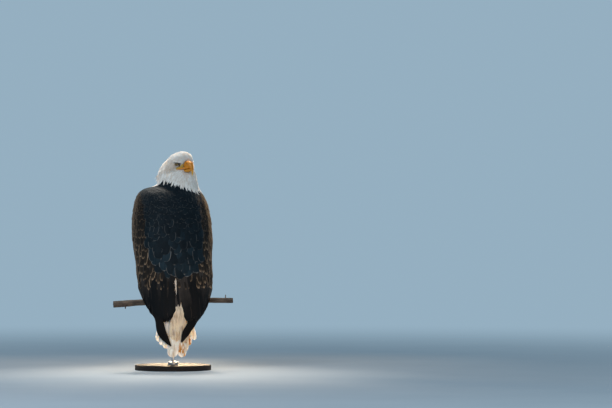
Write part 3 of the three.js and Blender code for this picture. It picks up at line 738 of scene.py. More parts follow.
def rows_round(spacing_at, start, end, girth_at):
    """(position, angle) pairs in staggered rows; spacing_at gives (row step, step round) at a position."""
    rng = np.random.default_rng(5)
    pairs, at, row = [], start, 0
    while (at < end) == (start < end) and at != end:
        step, gap = spacing_at(at)
        count = max(4, int(girth_at(at) / gap))
        turns = (np.arange(count) + 0.5 * (row % 2) + rng.uniform(-0.22, 0.22, count)) / count
        angles = turns * 2 * math.pi
        places = at + rng.uniform(-0.25, 0.25, count) * step
        pairs += list(zip(places, angles))
        at += step if end > start else -step
        row += 1
    return np.array(pairs)


# The head: rows ring the bill's axis, by their angle back from it in radians.
FACE_START, NAPE_END = 0.28, 3.08
HEAD_ROUND = 50 * MM


def mirrored(local):
    """These places of the head's frame, all brought to its right side."""
    return np.column_stack([np.abs(local[:, 0]), local[:, 1:]])


def face_spacing(angle):
    """The closest rows stand round the bill."""
    size = (1.9 + 1.5 * smoothstep(angle, 0.6, 1.9)) * MM
    return size / HEAD_ROUND, size


pairs = rows_round(face_spacing, FACE_START, NAPE_END, lambda a: 2 * math.pi * HEAD_ROUND * math.sin(a))
polar, round_bill = pairs[:, 0], pairs[:, 1]
ways = np.stack([np.sin(polar) * np.cos(round_bill), np.cos(polar), np.sin(polar) * np.sin(round_bill)], 1)
ways = ways @ HEAD_AXES
origins = np.broadcast_to(from_head(HEAD_CENTRE), ways.shape)
roots, normals, hits = cast_in(origins, ways, 0.11)
local = in_head(roots)
NECK_PLANE, NECK_SLOPE = -30 * MM, 0.42  # the head's rows end at this height, higher towards the bill
CHIN = 24 * MM  # how much lower they reach under the bill
chin = CHIN * smoothstep(local[:, 1], 0, 16 * MM)
above_neck = local[:, 2] - NECK_SLOPE * local[:, 1] > NECK_PLANE - chin
EYE_CLEAR = {"round": 8.8 * MM, "side": 20 * MM}
to_eye = mirrored(local) - EYE_PLACE
eye_gap = np.hypot(to_eye[:, 1], to_eye[:, 2] * 1.15)
clear_of_eye = (eye_gap > EYE_CLEAR["round"]) | (np.abs(local[:, 0]) < EYE_CLEAR["side"])


LORES = {"back": -2 * MM, "front": 29 * MM, "low": -20 * MM, "corner": -17 * MM, "slope": 0.77,
         "inner": 9 * MM}


def lores_top(forward):
    """The upper edge of the bare lores at each distance forward, in the head's frame."""
    return LORES["corner"] + LORES["slope"] * (forward - LORES["back"])


on_lores = ((local[:, 1] > LORES["back"]) & (local[:, 2] < lores_top(local[:, 1]))
            & (local[:, 2] > LORES["low"]) & (np.abs(local[:, 0]) > LORES["inner"]))
keep = hits & above_neck & clear_of_eye & ~on_lores
roots, normals, local, eye_gap = roots[keep], normals[keep], local[keep], eye_gap[keep]
back = smoothstep(-local[:, 1], -22 * MM, 55 * MM)
lengths = (6 + 12 * back) * MM
before_eye = (local[:, 1] > 2 * MM) & (eye_gap < 24 * MM)
lengths = np.where(before_eye, np.minimum(lengths, 4.2 * MM), lengths)
widths = (2.6 + 3.0 * back) * MM


def head_uv(local):
    """Each root's place on the head unrolled round the bill's axis."""
    return unwrap(local[:, [0, 2, 1]], (0, 0), -75 * MM, 30 * MM)


def near(points, spot):
    """1 at a spot's place, falling smoothly to nothing past its reach."""
    return np.exp(-(np.linalg.norm(points - spot["place"], axis=1) / spot["reach"]) ** 2)


TUFT = {"place": np.array([-50, 50, 497]) * MM + ON_BRANCH, "reach": 11 * MM}  # it stands out of the nape
CHEEK = {"place": np.array([30, -20, -20]) * MM, "reach": 36 * MM}  # feathers here are darker and buff
PATCH = 13 * MM
raised = near(roots, TUFT)
off_cheek = 1 - 0.97 * near(mirrored(local), CHEEK)
head_tones = np.random.default_rng(13).uniform(0.35, 1, len(roots)) * off_cheek
head_tones *= 1 + 0.9 * waver(local, PATCH)
head_feathers = coat("head_feathers", roots, normals, head_flow, lengths * (1 + 0.5 * raised), widths,
                     white_feather, shape=pointed_vane, steps=4, columns=3, lift=(0.6 + 19 * raised) * MM,
                     sink=1.6 * MM, roots_uv=head_uv(local), turn=0.16, fray=0.0, thick=0.5 * MM, seed=11,
                     tones=head_tones)

# The neck: level rows round its upright axis, down to the ragged collar.
NECK_AXIS = np.array([16, 25]) * MM
NECK_ROUND = 82 * MM


def neck_spacing(height):
    """Rows and hackles stand wider apart lower down."""
    size = (3.4 + 2.4 * smoothstep(BRANCH_HEIGHT + 550 * MM - height, 0, 90 * MM)) * MM
    return 1.05 * size, size


pairs = rows_round(neck_spacing, BRANCH_HEIGHT + 572 * MM, BRANCH_HEIGHT + 385 * MM,
                   lambda z: 2 * math.pi * NECK_ROUND)
heights, angles = pairs[:, 0], pairs[:, 1]
ways = np.stack([np.cos(angles), np.sin(angles), np.zeros(len(angles))], 1)
origins = np.column_stack([np.broadcast_to(NECK_AXIS, (len(angles), 2)), heights])
roots, normals, hits = cast_in(origins, ways, 0.22)
local = in_head(roots)
below_head = local[:, 2] - NECK_SLOPE * local[:, 1] <= NECK_PLANE + 5 * MM
ragged = np.random.default_rng(8).uniform(4, 15, len(roots)) * MM
keep = hits & below_head & (roots[:, 2] > collar_height(roots) + ragged)
roots, normals = roots[keep], normals[keep]
low_neck = smoothstep(BRANCH_HEIGHT + 545 * MM - roots[:, 2], 0, 90 * MM)
rng = np.random.default_rng(9)
lengths = (15 + 18 * low_neck) * rng.uniform(0.85, 1.2, len(roots)) * MM
widths = (5.4 + 3.2 * low_neck) * MM
neck_uv = unwrap(roots, NECK_AXIS, BRANCH_HEIGHT + 380 * MM, BRANCH_HEIGHT + 565 * MM)
neck_hackles = coat("neck_hackles", roots, normals, head_flow, lengths, widths, white_feather,
                    shape=pointed_vane, steps=5, columns=3, lift=1.6 * MM, sink=3 * MM,
                    roots_uv=neck_uv, turn=0.17, fray=0.0, thick=0.6 * MM, seed=12,
                    tones=rng.uniform(0.3, 1, len(roots)))


# ---- The brown body and wings ----
# Broad round feathers in staggered rows like tiles: near black on the mantle, with a painted blue
# reflection of the sky, browner with pale worn edges on the wing coverts, softer and closer on breast,
# flanks and thighs, and hanging in loose cuffs round the tops of the shanks.

# The mantle's blue cast, in its web colours and its sheen tint, is a painted reflection of cool sky over
# dark brown feathers.
mantle_feather = plumage("mantle_feather", "#020a10", "#1d2f38", "#8a8580", margin=0.22, barbs=30,
                         rough=0.6, sheen=0.03, gloss=0.12, sheen_tint="#a9bfe0", edge_share=0.85,
                         fresh=0.36)
covert_feather = plumage("wing_covert", "#0b0b0d", "#30281f", "#b4967a", margin=0.38, barbs=34,
                         rough=0.62, sheen=0.03, edge_share=1.0, fresh=0.12, gloss=0.1)
breast_feather = plumage("breast_feather", "#16110e", "#31251d", "#4f4035", margin=0.3, barbs=26,
                         rough=0.7, sheen=0.1, edge_share=0.6, fresh=0.2)

SHOULDER = np.array([0, 20, 395]) * MM + ON_BRANCH
OUTWARD, WING_SWEEP = 0.4, 0.28  # how far feathers lie outward, and back on the wings, against down


def body_axis(heights):
    """Where the body's middle lies at each height: it tips back as it goes down."""
    above = heights - BRANCH_HEIGHT
    below = np.maximum(SHOULDER[2] - heights, 0) / (SHOULDER[2] - BRANCH_HEIGHT)
    return np.stack([4.5 * MM - 0.03 * above, (20 - 75 * below ** 1.4) * MM], 1)


def body_flow(points):
    """Down and outward over the shoulders, down the back and breast, and back along the wings."""
    middle = body_axis(np.minimum(points[:, 2], SHOULDER[2]))
    out = unit(points[:, :2] - middle)
    flank = np.abs(out[:, 0]) ** 2 * smoothstep(BRANCH_HEIGHT + 430 * MM - points[:, 2], 0, 90 * MM)
    back = OUTWARD * out[:, 1] - WING_SWEEP * flank
    return np.column_stack([OUTWARD * out[:, 0], back, -np.ones(len(points))])


def body_places(step_at, gap_at, seed):
    """Roots in staggered rows over the shoulders and down: points, normals and names of their nodes."""
    ways, origins = [], []
    rng = np.random.default_rng(seed)
    slope, height, row = math.radians(84), SHOULDER[2], 0
    reach = 150 * MM
    while height > BRANCH_HEIGHT - 30 * MM:
        above = height - BRANCH_HEIGHT + reach * math.sin(slope) * 0.35
        step, gap = step_at(above), gap_at(above)
        count = max(8, int(2 * math.pi * reach * max(math.cos(slope), 0.12) / gap))
        share = (np.arange(count) + 0.5 * (row % 2) + rng.uniform(-0.12, 0.12, count)) / count
        turn_round = share * 2 * math.pi
        tilt = slope + rng.uniform(-0.1, 0.1, count) * step / reach
        ways.append(np.stack([np.cos(turn_round) * np.cos(tilt), np.sin(turn_round) * np.cos(tilt),
                              np.sin(tilt)], 1))
        jitter = height + rng.uniform(-0.12, 0.12, count) * step * (slope <= 0)
        origins.append(np.column_stack([body_axis(np.full(count, height)), jitter]))
        row += 1
        if slope > 0:
            slope = max(0.0, slope - step / reach * 0.9)
        else:
            height -= step
    ways, origins = np.vstack(ways), np.vstack(origins)
    roots, normals, hits = cast_in(origins, ways, 0.35)
    roots, normals = roots[hits], normals[hits]
    return roots, normals, node_under(roots)


def grows(small, large, start=440, end=140):
    """Gives a size for each height above the branch: from small at start up to large at end, in mm."""
    def size(above):
        down = smoothstep(start * MM - above, 0, (start - end) * MM)
        return (small + (large - small) * down) * MM
    return size


def body_uv(roots):
    """Each root's place on the unrolled body."""
    return unwrap(roots, (0, 0), BRANCH_HEIGHT - 90 * MM, BRANCH_HEIGHT + 460 * MM)


def lay(name, places, chosen, length, width, material, slot="brown_plumage", **how):
    """Lays the chosen roots as one coat piece, length and width being sizes by height. Those under the
    collar lie flat, so that its hackles hang over them."""
    roots, normals, _ = (part[chosen] for part in places)
    above = roots[:, 2] - BRANCH_HEIGHT
    rng = np.random.default_rng(how["seed"])
    vary = rng.uniform(0.88, 1.12, len(roots))
    under_collar = smoothstep(roots[:, 2] - collar_height(roots), -40 * MM, -5 * MM)
    lift = how.pop("lift") * (1 - 1.3 * under_collar)
    piece = coat(name, roots, normals, body_flow, length(above) * vary, width(above), material, lift=lift,
                 sink=3 * MM, roots_uv=body_uv(roots), **how)
    return piece


def shaggy_vane(t):
    """Half width of a thigh feather: loose, narrowing from its middle to a soft end."""
    return from_quill(t, 0.3, 0.35) * (1.02 - to_tip(t, 0.4, 2.2))


def straight(name, starts, ends, up, halves, vane, material, **how):
    """Straight feathers from their starts to their ends, their faces towards up."""
    t = 1 - (1 - np.linspace(0, 1, 30)) ** 1.2
    lines = starts[:, None, :] + (ends - starts)[:, None, :] * t[None, :, None]
    ways = unit(lines[:, 1:2] - lines[:, :1])
    sides = np.broadcast_to(unit(np.cross(ways, up[:, None, :])), lines.shape)
    widths = halves[:, None, None] * vane(t)[None, :, None] * np.ones(2)
    rise = np.cross(sides, ways)
    rise = rise * np.sign((rise * up[:, None, :]).sum(-1, keepdims=True))
    count = len(starts)
    strips = np.column_stack([0.06 + 0.88 * np.arange(count) / count, np.full(count, 0.5)])
    how.setdefault("roots_uv", strips)
    how.setdefault("patch", np.array([0.7 / count, 0.9]))
    return blades(name, lines, rise, sides, widths, material, hollow=True, **how)


SHIELD = {"half": 106 * MM, "middle": 262 * MM, "end": 146 * MM}  # the dark back, rounded off below


def choose(places):
    """Masks over these roots: below the collar, on the dark shield, behind, on the trunk; and heights."""
    roots, normals, names = places
    above = roots[:, 2] - BRANCH_HEIGHT
    axis = body_axis(roots[:, 2])
    brown = roots[:, 2] < collar_height(roots) + 3 * MM
    behind = roots[:, 1] < axis[:, 1] + 8 * MM
    down = np.clip((SHIELD["middle"] - above) / (SHIELD["middle"] - SHIELD["end"]), 0, 1)
    shield = behind & (np.abs(roots[:, 0] - axis[:, 0]) < SHIELD["half"] * np.sqrt(1 - down ** 2))
    shield &= (normals[:, 1] < -0.6) | (above > 200 * MM)  # none in the cleft between the wings
    return brown, shield, behind, np.isin(names, ["trunk", "neck", "head"]), above


def worn_and_shaded_tones(places, chosen, seed, power=2.0):
    """A tone for each chosen feather: most fresh and dark, a few old and faded, more so lower down. Up on
    the shoulders the tones are held low, partly as less wear and partly as painted shade.
    """
    roots = places[0][chosen]
    # Darker towards the top of the shoulders: partly less wear, partly painted shade.
    low = smoothstep(BRANCH_HEIGHT + 370 * MM - roots[:, 2], 0, 170 * MM)
    return np.random.default_rng(seed).random(len(roots)) ** power * (0.12 + 0.88 * low)


places = body_places(grows(9, 22, 460, 190), grows(12, 30, 460, 190), 21)
brown, shield, behind, on_trunk, above = choose(places)
chosen = shield & brown
lay("mantle_feathers", places, chosen, grows(28, 74, 460, 190), grows(18, 46, 460, 190),
    mantle_feather, shape=round_vane, steps=9, columns=7, lift=2.6 * MM, turn=0.09, fray=0.04,
    camber=0.16, seed=31, tones=worn_and_shaded_tones(places, chosen, 41, 1.6), fold=0.35)
places = body_places(grows(9, 13), grows(10, 14), 22)
brown, shield, behind, on_trunk, above = choose(places)
chosen = on_trunk & ~behind & brown & (above > -10 * MM)
lay("breast_feathers", places, chosen, grows(26, 44), grows(15, 24), breast_feather, shape=round_vane,
    steps=6, columns=3, lift=1.8 * MM, turn=0.13, fray=0.06, seed=32)
FLANK_GRID = {"across": (56, 92, 9.0), "up": (16, 130, 10.0)}  # from, to and step, mm
SHANK_TOP = np.array([47, -14, 92]) * MM  # the right leg's axis, above the branch
SHANK_FOOT = np.array([45, -10, 22]) * MM
# Each ring of a cuff: how high its roots and its tips are, then how far out, in mm.
CUFFS = ((86, 50, 22, 14), (78, 46, 18, 12.5), (70, 41, 14, 11.5))
CUFF_FEATHERS = 15


def on_shank(height):
    """The point of the right leg's axis at this height above the branch."""
    way = SHANK_TOP - SHANK_FOOT
    return SHANK_FOOT + way * (height - SHANK_FOOT[2]) / way[2]


for k, (side, sign) in enumerate((("left", -1), ("right", 1))):
    thigh = (places[2] == "thigh_" + side) & (above > 66 * MM)
    lay(f"thigh_{side}_feathers", places, thigh, grows(36, 50), grows(12, 16), breast_feather, fold=0.2,
        shape=shaggy_vane, steps=8, columns=5, lift=3.6 * MM, turn=0.2, fray=0.14, seed=35 + k)
    # The flank behind each thigh can be reached only from in front.
    across, up = np.meshgrid(np.arange(*FLANK_GRID["across"]), np.arange(*FLANK_GRID["up"]))
    across[::2] += 4
    origins = np.column_stack([sign * across.ravel(), np.full(across.size, -160), up.ravel()]) * MM
    origins += ON_BRANCH
    roots, normals, hits = cast_in(origins, np.broadcast_to([0, 1.0, 0], origins.shape), 0.36)
    names = node_under(roots)
    flank = hits & np.isin(names, ["trunk", "wing_" + side]) & (normals[:, 1] > 0.1)
    lay(f"flank_{side}_feathers", (roots, normals, names), flank, grows(34, 40), grows(18, 22),
        breast_feather, shape=round_vane, steps=5, columns=5, lift=1.6 * MM, turn=0.13, fray=0.06,
        seed=45 + k, fold=0.2)
    # The plumage ends in a loose cuff that hangs round the top of the bare shank.
    cuffs = []
    for high, low, wide, narrow in CUFFS:
        angles = (np.arange(CUFF_FEATHERS) + 0.5 * len(cuffs)) / CUFF_FEATHERS * 2 * math.pi
        out = np.stack([np.cos(angles), np.sin(angles), np.zeros(CUFF_FEATHERS)], 1)
        root, tip = (on_shank(height * MM) * [sign, 1, 1] for height in (high, low))
        cuffs.append([root + out * wide * MM, tip + out * narrow * MM, out])
    starts, ends, ups = (np.vstack(part) for part in zip(*cuffs))
    rng = np.random.default_rng(47 + k)
    ends[:, 2] -= rng.uniform(0, 7, len(ends)) * MM
    starts, ends = starts + ON_BRANCH, ends + ON_BRANCH
    cuff = straight(f"cuff_{side}_feathers", starts, ends, ups, np.full(len(ends), 3.6 * MM),
                    shaggy_vane, breast_feather, columns=5, camber=0.14, thick=0.4 * MM, fray=0.12,
                    seed=47 + k, roots_uv=body_uv(starts), patch=0.003)
places = body_places(grows(10, 28, 440, 200), grows(11, 15, 440, 200), 23)
brown, shield, behind, on_trunk, above = choose(places)
for k, (side, sign) in enumerate((("left", -1), ("right", 1))):
    near_wing = on_trunk & behind & (np.sign(places[0][:, 0]) == sign)
    wing_side = (places[2] == "wing_" + side) | near_wing
    chosen = wing_side & brown & ~shield & (above > np.where(behind, 118, 60) * MM)
    lay(f"wing_{side}_coverts", places, chosen, grows(28, 84, 440, 200), grows(15, 22, 440, 200),
        covert_feather, shape=round_vane, steps=9, columns=7, lift=1.8 * MM, turn=0.07, fray=0.04,
        camber=0.16, seed=33 + k, tones=worn_and_shaded_tones(places, chosen, 43 + k, 0.85))


# ---- The folded flight feathers ----
# Stiff, long blades: secondaries and tertials lie down the back of each wing with the inner ones on
# top, and the primaries reach past them in a narrow blade over the side of the tail.

flight_feather = plumage("flight_feather", "#040407", "#0b0b0d", "#1e1a18", margin=0.12, barbs=90,
                         rough=0.55, sheen=0.0, edge_share=0.7, mottle=0.25, gloss=0.08)
tertial_feather = plumage("tertial_feather", "#04070b", "#35302d", "#5f544c", margin=0.14, barbs=80,
                          rough=0.55, sheen=0.05, edge_share=0.8, fresh=0.4, mottle=0.3, fade=0.9,
                          gloss=0.1)


def flight_vane(t):
    """Half width of a flight feather: long and even, then turned in to a blunt point."""
    return from_quill(t, 0.3, 0.2) * (1.01 - to_tip(t, 0.8, 2.2)) ** 0.7


SECONDARIES = 11
SECONDARY_ROOT = BRANCH_HEIGHT + 165 * MM
# How far above the branch each secondary ends, the innermost first, in mm.
SECONDARY_TIPS = (-80, -70, -76, -71, -74, -69, -66, -60, -46, -28, 4)
FIRST_TURN = {"left": math.radians(11), "right": math.radians(5)}  # round the body from mid-back
LAST_TURN = math.radians(96)
INNER_SLANT = {"left": 0.0, "right": 0.16}  # how far the inner ones lean outward, against down
for k, (side, sign) in enumerate((("left", -1), ("right", 1))):
    share = np.linspace(0, 1, SECONDARIES)
    rounds = -math.pi / 2 + sign * (FIRST_TURN[side] + (LAST_TURN - FIRST_TURN[side]) * share)
    ways = np.stack([np.cos(rounds), np.sin(rounds), np.zeros(SECONDARIES)], 1)
    heights = SECONDARY_ROOT + 12 * MM * np.sin(share * math.pi)
    origins = np.column_stack([body_axis(heights), heights])
    roots, normals, _ = cast_in(origins, ways, 0.35)
    tips = BRANCH_HEIGHT + np.array(SECONDARY_TIPS) * MM
    lengths = (heights - tips) * 1.04
    widths = (34 - 6 * share) * MM
    slant = unit(np.column_stack([sign * (INNER_SLANT[side] * (1 - share) - 0.15 * share),
                                  np.full(SECONDARIES, -0.06), -np.ones(SECONDARIES)]))
    uv = np.column_stack([0.05 + 0.9 * share, np.full(SECONDARIES, 0.5)])
    tones = np.random.default_rng(54 + k).uniform(0.05, 0.55, SECONDARIES)
    piece = coat(f"wing_{side}_secondaries", roots, normals, lambda p: slant, lengths, widths,
                 tertial_feather, shape=flight_vane, steps=22, columns=7, lift=(2.6 - 2.2 * share) * MM,
                 sink=0.5 * MM, roots_uv=uv, patch=np.array([0.07, 0.9]), turn=0.012, camber=0.1,
                 thick=0.5 * MM, fray=0.01, roll=0.02, seed=51 + k, tones=tones)

# Between the wings, short inner feathers close the cleft down to the tail; one pale edge shows.
# Each is how far across it lies, and how high its root and its tip are, in mm.
INNER = [(-14, 150, 18), (15, 150, 14), (0, 150, 22), (-12, 118, -4), (13, 116, -8), (4, 110, 10),
         (-7, 96, -14), (10, 92, -20), (0, 84, -2), (7, 70, -12), (-3, 66, -19)]
roots = np.array([(x, 0, top) for x, top, _ in INNER]) * MM
tips = np.array([(0.8 * x + 2.5, 0, low) for x, _, low in INNER]) * MM
for k, points in enumerate((roots, tips)):
    points[:, 1] = -125 * MM + (points[:, 2] - 100 * MM) * 0.105 - 0.3 * MM * np.arange(len(INNER)) * k
    points[:, 2] += BRANCH_HEIGHT
ups = np.broadcast_to(np.array([0, -1.0, 0]), roots.shape)
inner = straight("cleft_feathers", roots, tips, ups, np.full(len(INNER), 7 * MM), round_vane,
                 tertial_feather, columns=7, camber=0.14, thick=0.5 * MM, fray=0.01, seed=58,
                 roots_uv=body_uv(roots), patch=0.003)
pale_root = np.array([[-5, -127, 104]]) * MM + ON_BRANCH
pale_tip = np.array([[-1, -136.5, 26]]) * MM + ON_BRANCH
pale = straight("cleft_pale_feather", pale_root, pale_tip, ups[:1], np.array([3.4 * MM]), pointed_vane,
                white_feather, columns=5, camber=0.2, thick=0.4 * MM, seed=59)

# Each row of a primary blade is its height above the branch, and how far out its two edges lie.
PRIMARY_EDGES = {
    "left": np.array([(-20, 97, 64), (-70, 84, 53), (-109, 79, 44), (-137, 62, 34), (-171, 27, 21)]) * MM,
    "right": np.array([(-20, 108, 70), (-74, 80, 45), (-98, 63, 34), (-124, 46, 19), (-157, 21, 14)]) * MM,
}
BLADE_DEPTH = np.array([-112, -134, -143.5, -147, -150]) * MM
PRIMARIES = 5


def smooth_rows(rows, t):
    """Points on a smooth curve through the rows, at shares t of its length."""
    rows = np.asarray(rows, float)
    last = len(rows) - 1
    at = np.clip(np.asarray(t) * last, 0, last - 1e-9)
    i = at.astype(int)
    s = (at - i)[:, None]
    before, after = rows[np.maximum(i - 1, 0)], rows[np.minimum(i + 2, last)]
    a, b = rows[i], rows[i + 1]
    return 0.5 * (2 * a + (b - before) * s + (2 * before - 5 * a + 4 * b - after) * s ** 2
                  + (3 * a - before - 3 * b + after) * s ** 3)


for side, sign in (("left", -1), ("right", 1)):
    rows = np.column_stack([PRIMARY_EDGES[side], BLADE_DEPTH])
    lines, halves = [], []
    for j in range(PRIMARIES):
        # Each next one is shorter, further in and further back; the first ends in the blade's point.
        reach = 1 - 0.045 * j
        t = np.linspace(0, reach, 26)
        at = smooth_rows(rows, t)
        middle = at[:, 1] * (0.55 - 0.06 * j) + at[:, 2] * (0.45 + 0.06 * j)
        taper = (1.01 - to_tip(t / reach, 0.86, 2)) ** 0.6 if j else np.ones(len(t))
        depth = at[:, 3] - (0.4 + 0.7 * j) * MM
        lines.append(np.column_stack([sign * middle, depth, BRANCH_HEIGHT + at[:, 0]]))
        outer, inner = (at[:, 1] - middle) * taper, (middle - at[:, 2]) * taper
        halves.append(np.column_stack([inner, outer] if sign < 0 else [outer, inner]))
    lines, halves = np.array(lines), np.array(halves)
    ups = np.broadcast_to(unit(np.array([sign * 0.12, -1.0, -0.1])), lines.shape)
    ways = unit(np.gradient(lines, axis=1))
    sides = unit(np.cross(ways, ups))
    uv = np.column_stack([0.1 + 0.8 * np.arange(PRIMARIES) / PRIMARIES, np.full(PRIMARIES, 0.5)])
    piece = blades(f"wing_{side}_primaries", lines, ups, sides, halves, flight_feather, roots_uv=uv,
                   patch=np.array([0.12, 0.9]), columns=7, camber=0.05, thick=0.6 * MM, fray=0.0,
                   hollow=True)
    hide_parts("primaries_" + side)


# ---- The tail ----
# Twelve broad white feathers folded over one another in a shallow roof, the middle pair on top, and
# shorter coverts over and under their roots, their white painted buff and streaked brown as shade.

TAIL_ROOT = {"height": 46 * MM, "depth": -112 * MM, "spread": 3.5 * MM}
TAIL_DEPTH = -146 * MM
# Where each feather ends, from the middle one outward: across, and above the branch, in mm.
TAIL_TIPS = {-1: [(-14, -216), (-20, -215), (-21, -206), (-42, -182), (-56, -170), (-68, -157)],
             1: [(19, -215), (24, -214), (26, -204), (34, -192), (47, -172), (71, -149)]}
TAIL_HALVES = {-1: (18, 19, 18, 17, 18, 19), 1: (16, 16, 15, 16, 15, 12)}
TAIL_ROOF = 1.5 * MM


def tail_vane(t):
    """Half width of a tail feather: widening to its last quarter, with a broad round end."""
    return np.interp(t, [0, 0.35, 0.75], [0.45, 0.8, 1]) * np.sqrt(1.003 - to_tip(t, 0.88, 2.2))


TAIL_BARBS = 94.2  # how many show down a feather, drawn coarser than real ones


def tail_white(name, pale, streaked):
    """White feather with grey-brown streaks along it, which are painted shade, and fine slanting barbs with
    painted shade between them; those of high tone are mottled amber towards their tips, partly stain and
    partly a painted glow of light through the vane."""
    def inputs(tree):
        vane = add(tree, "UVMap", uv_map="vane")
        split = add(tree, "SeparateXYZ", {0: vane.outputs[0]})
        centred = add(tree, "MapRange", {"Value": split.outputs[0], "To Min": -1.0, "To Max": 1.0})
        off = add(tree, "Math", {0: centred.outputs[0]}, operation="ABSOLUTE")
        slant = add(tree, "Math", {0: off.outputs[0], 1: -0.1, 2: split.outputs[1]},
                    operation="MULTIPLY_ADD")
        tone = add(tree, "Attribute", attribute_name="tone")
        row = add(tree, "CombineXYZ", {0: slant.outputs[0], 1: tone.outputs["Fac"]})
        barb = add(tree, "TexWave", {"Vector": row.outputs[0], "Scale": TAIL_BARBS / math.pi,
                                     "Distortion": 1.5, "Detail": 2.0})
        place = add(tree, "TexCoord").outputs["Object"]
        streaked_place = add(tree, "Mapping", {"Vector": place, "Scale": (1.0, 1.0, 0.16)})
        streak = add(tree, "TexNoise", {"Vector": streaked_place.outputs[0], "Scale": per(7.69),
                                        "Detail": 5.0})
        # Amber towards the tips of high-tone feathers: partly stain, partly a painted glow of light through
        # the vane.
        blot_place = add(tree, "Mapping", {"Vector": place, "Scale": (1.0, 1.0, 0.4)})
        blotch = add(tree, "TexNoise", {"Vector": blot_place.outputs[0], "Scale": per(8.33), "Detail": 4.0})
        near_tip = add(tree, "MapRange", {"Value": split.outputs[1], "From Min": 0.6, "From Max": 0.82})
        mottled = add(tree, "MapRange", {"Value": blotch.outputs[0], "From Min": 0.4, "From Max": 0.54})
        amber_stain_and_glow = add(tree, "MapRange", {"Value": tone.outputs["Fac"], "From Min": 0.5, "From Max": 1.0})
        tipped = add(tree, "Math", {0: mottled.outputs[0], 1: near_tip.outputs[0]}, operation="MULTIPLY")
        amber = add(tree, "Math", {0: tipped.outputs[0], 1: amber_stain_and_glow.outputs[0]}, operation="MULTIPLY")
        # The grey-brown streaks along the feather are painted shade.
        grey = add(tree, "MapRange", {"Value": streak.outputs[0], "From Min": 0.48, "From Max": 0.7,
                                      "To Max": 0.75})
        white = add(tree, "Mix", {0: grey.outputs[0], 6: linear(pale), 7: linear(streaked)},
                    data_type="RGBA")
        warm = add(tree, "Mix", {0: amber.outputs[0], 6: white.outputs[2], 7: linear("#b97a24")},
                   data_type="RGBA")
        shaft = add(tree, "MapRange", {"Value": off.outputs[0], "From Min": 0.02, "From Max": 0.07,
                                       "To Min": 0.3, "To Max": 0.0})
        lined = add(tree, "Mix", {0: shaft.outputs[0], 6: warm.outputs[2], 7: linear("#b9a88f")},
                    data_type="RGBA")
        # Painted shade in the gaps between barbs, and a faint painted highlight on their crests.
        shade = add(tree, "MapRange", {"Value": barb.outputs["Fac"], "To Min": 0.86, "To Max": 1.04})
        barb_shaded = add(tree, "Mix", {0: 1.0, 6: lined.outputs[2], 7: shade.outputs[0]}, data_type="RGBA",
                     blend_type="MULTIPLY")
        bump = add(tree, "Bump", {"Height": barb.outputs["Fac"], "Strength": 0.3, "Distance": 0.3 * MM})
        return {"Base Color": barb_shaded.outputs[2], "Roughness": 0.62, "Normal": bump.outputs[0],
                "Specular IOR Level": 0.3, "Sheen Weight": 0.25, "Sheen Roughness": 0.4,
                "Subsurface Weight": 0.6, "Subsurface Radius": THROUGH_FEATHER, "Subsurface Scale": 2 * MM}
    return finish(name, inputs)


rows = [(sign, k, *tip, TAIL_HALVES[sign][k])
        for sign, tips in TAIL_TIPS.items() for k, tip in enumerate(tips)]
sign, k, tip_x, tip_z, half = np.array(rows, float).T
starts = np.column_stack([sign * TAIL_ROOT["spread"] * (k + 0.5), TAIL_ROOT["depth"] + TAIL_ROOF * k,
                          np.full(len(k), TAIL_ROOT["height"])])
ends = np.column_stack([tip_x * MM, TAIL_DEPTH + 2 * TAIL_ROOF * k, tip_z * MM])
starts[:, 1] += 0.4 * MM * sign  # the right feather of each pair tucks under the left
ends[:, 1] += 0.4 * MM * sign
roof = unit(np.column_stack([sign / 21, -np.ones(len(k)), np.zeros(len(k))]))
# Which feathers turn amber at the tips: partly stain, partly a painted glow of light through them.
amber_stain_and_glow = np.where((sign > 0) & (k < 5), 1.0, np.where((sign < 0) & (k < 2), 0.62, 0.2))
white_vane = tail_white("white_tail_feather", "#faf3e6", "#b9a68d")
tail = straight("tail_feathers", starts + ON_BRANCH, ends + ON_BRANCH, roof, half * MM, tail_vane,
                white_vane, columns=9, camber=0.06, thick=0.6 * MM, fray=0.006, seed=61, tones=amber_stain_and_glow)
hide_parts("tail")

# The coverts: rows of shorter, softer feathers that hide the roots, over the tail and under it.
# The coverts' buff with brown streaks is painted shade over white feathers, where the tail's middle lies in
# shade.
covert_vane_painted_shade = tail_white("tail_covert_feather", "#f6d8b6", "#946c4c")
COVERTS = {  # which face, highest root above the branch, rows, half spread at the last row
    "tail_coverts_upper": (-1, 10, 8, 40),
    "tail_coverts_under": (1, 8, 9, 38),
}
COVERT_MIDDLE = 6 * MM


def covert_depth(face, across, heights):
    """How far back the coverts lie: over the rump, then down on the tail; deeper under the wings."""
    if face > 0:
        return np.interp(heights, np.array([-216, -120, -74, -50, -20, 40]) * MM,
                         np.array([-140, -128, -106, -94, -78, -42]) * MM)
    middle = np.interp(heights, np.array([-150, -110, -74, -20, 15]) * MM,
                       np.array([-141, -143.5, -146, -141.5, -131]) * MM)
    return middle + 0.35 * max(abs(across - COVERT_MIDDLE) - 10 * MM, 0)


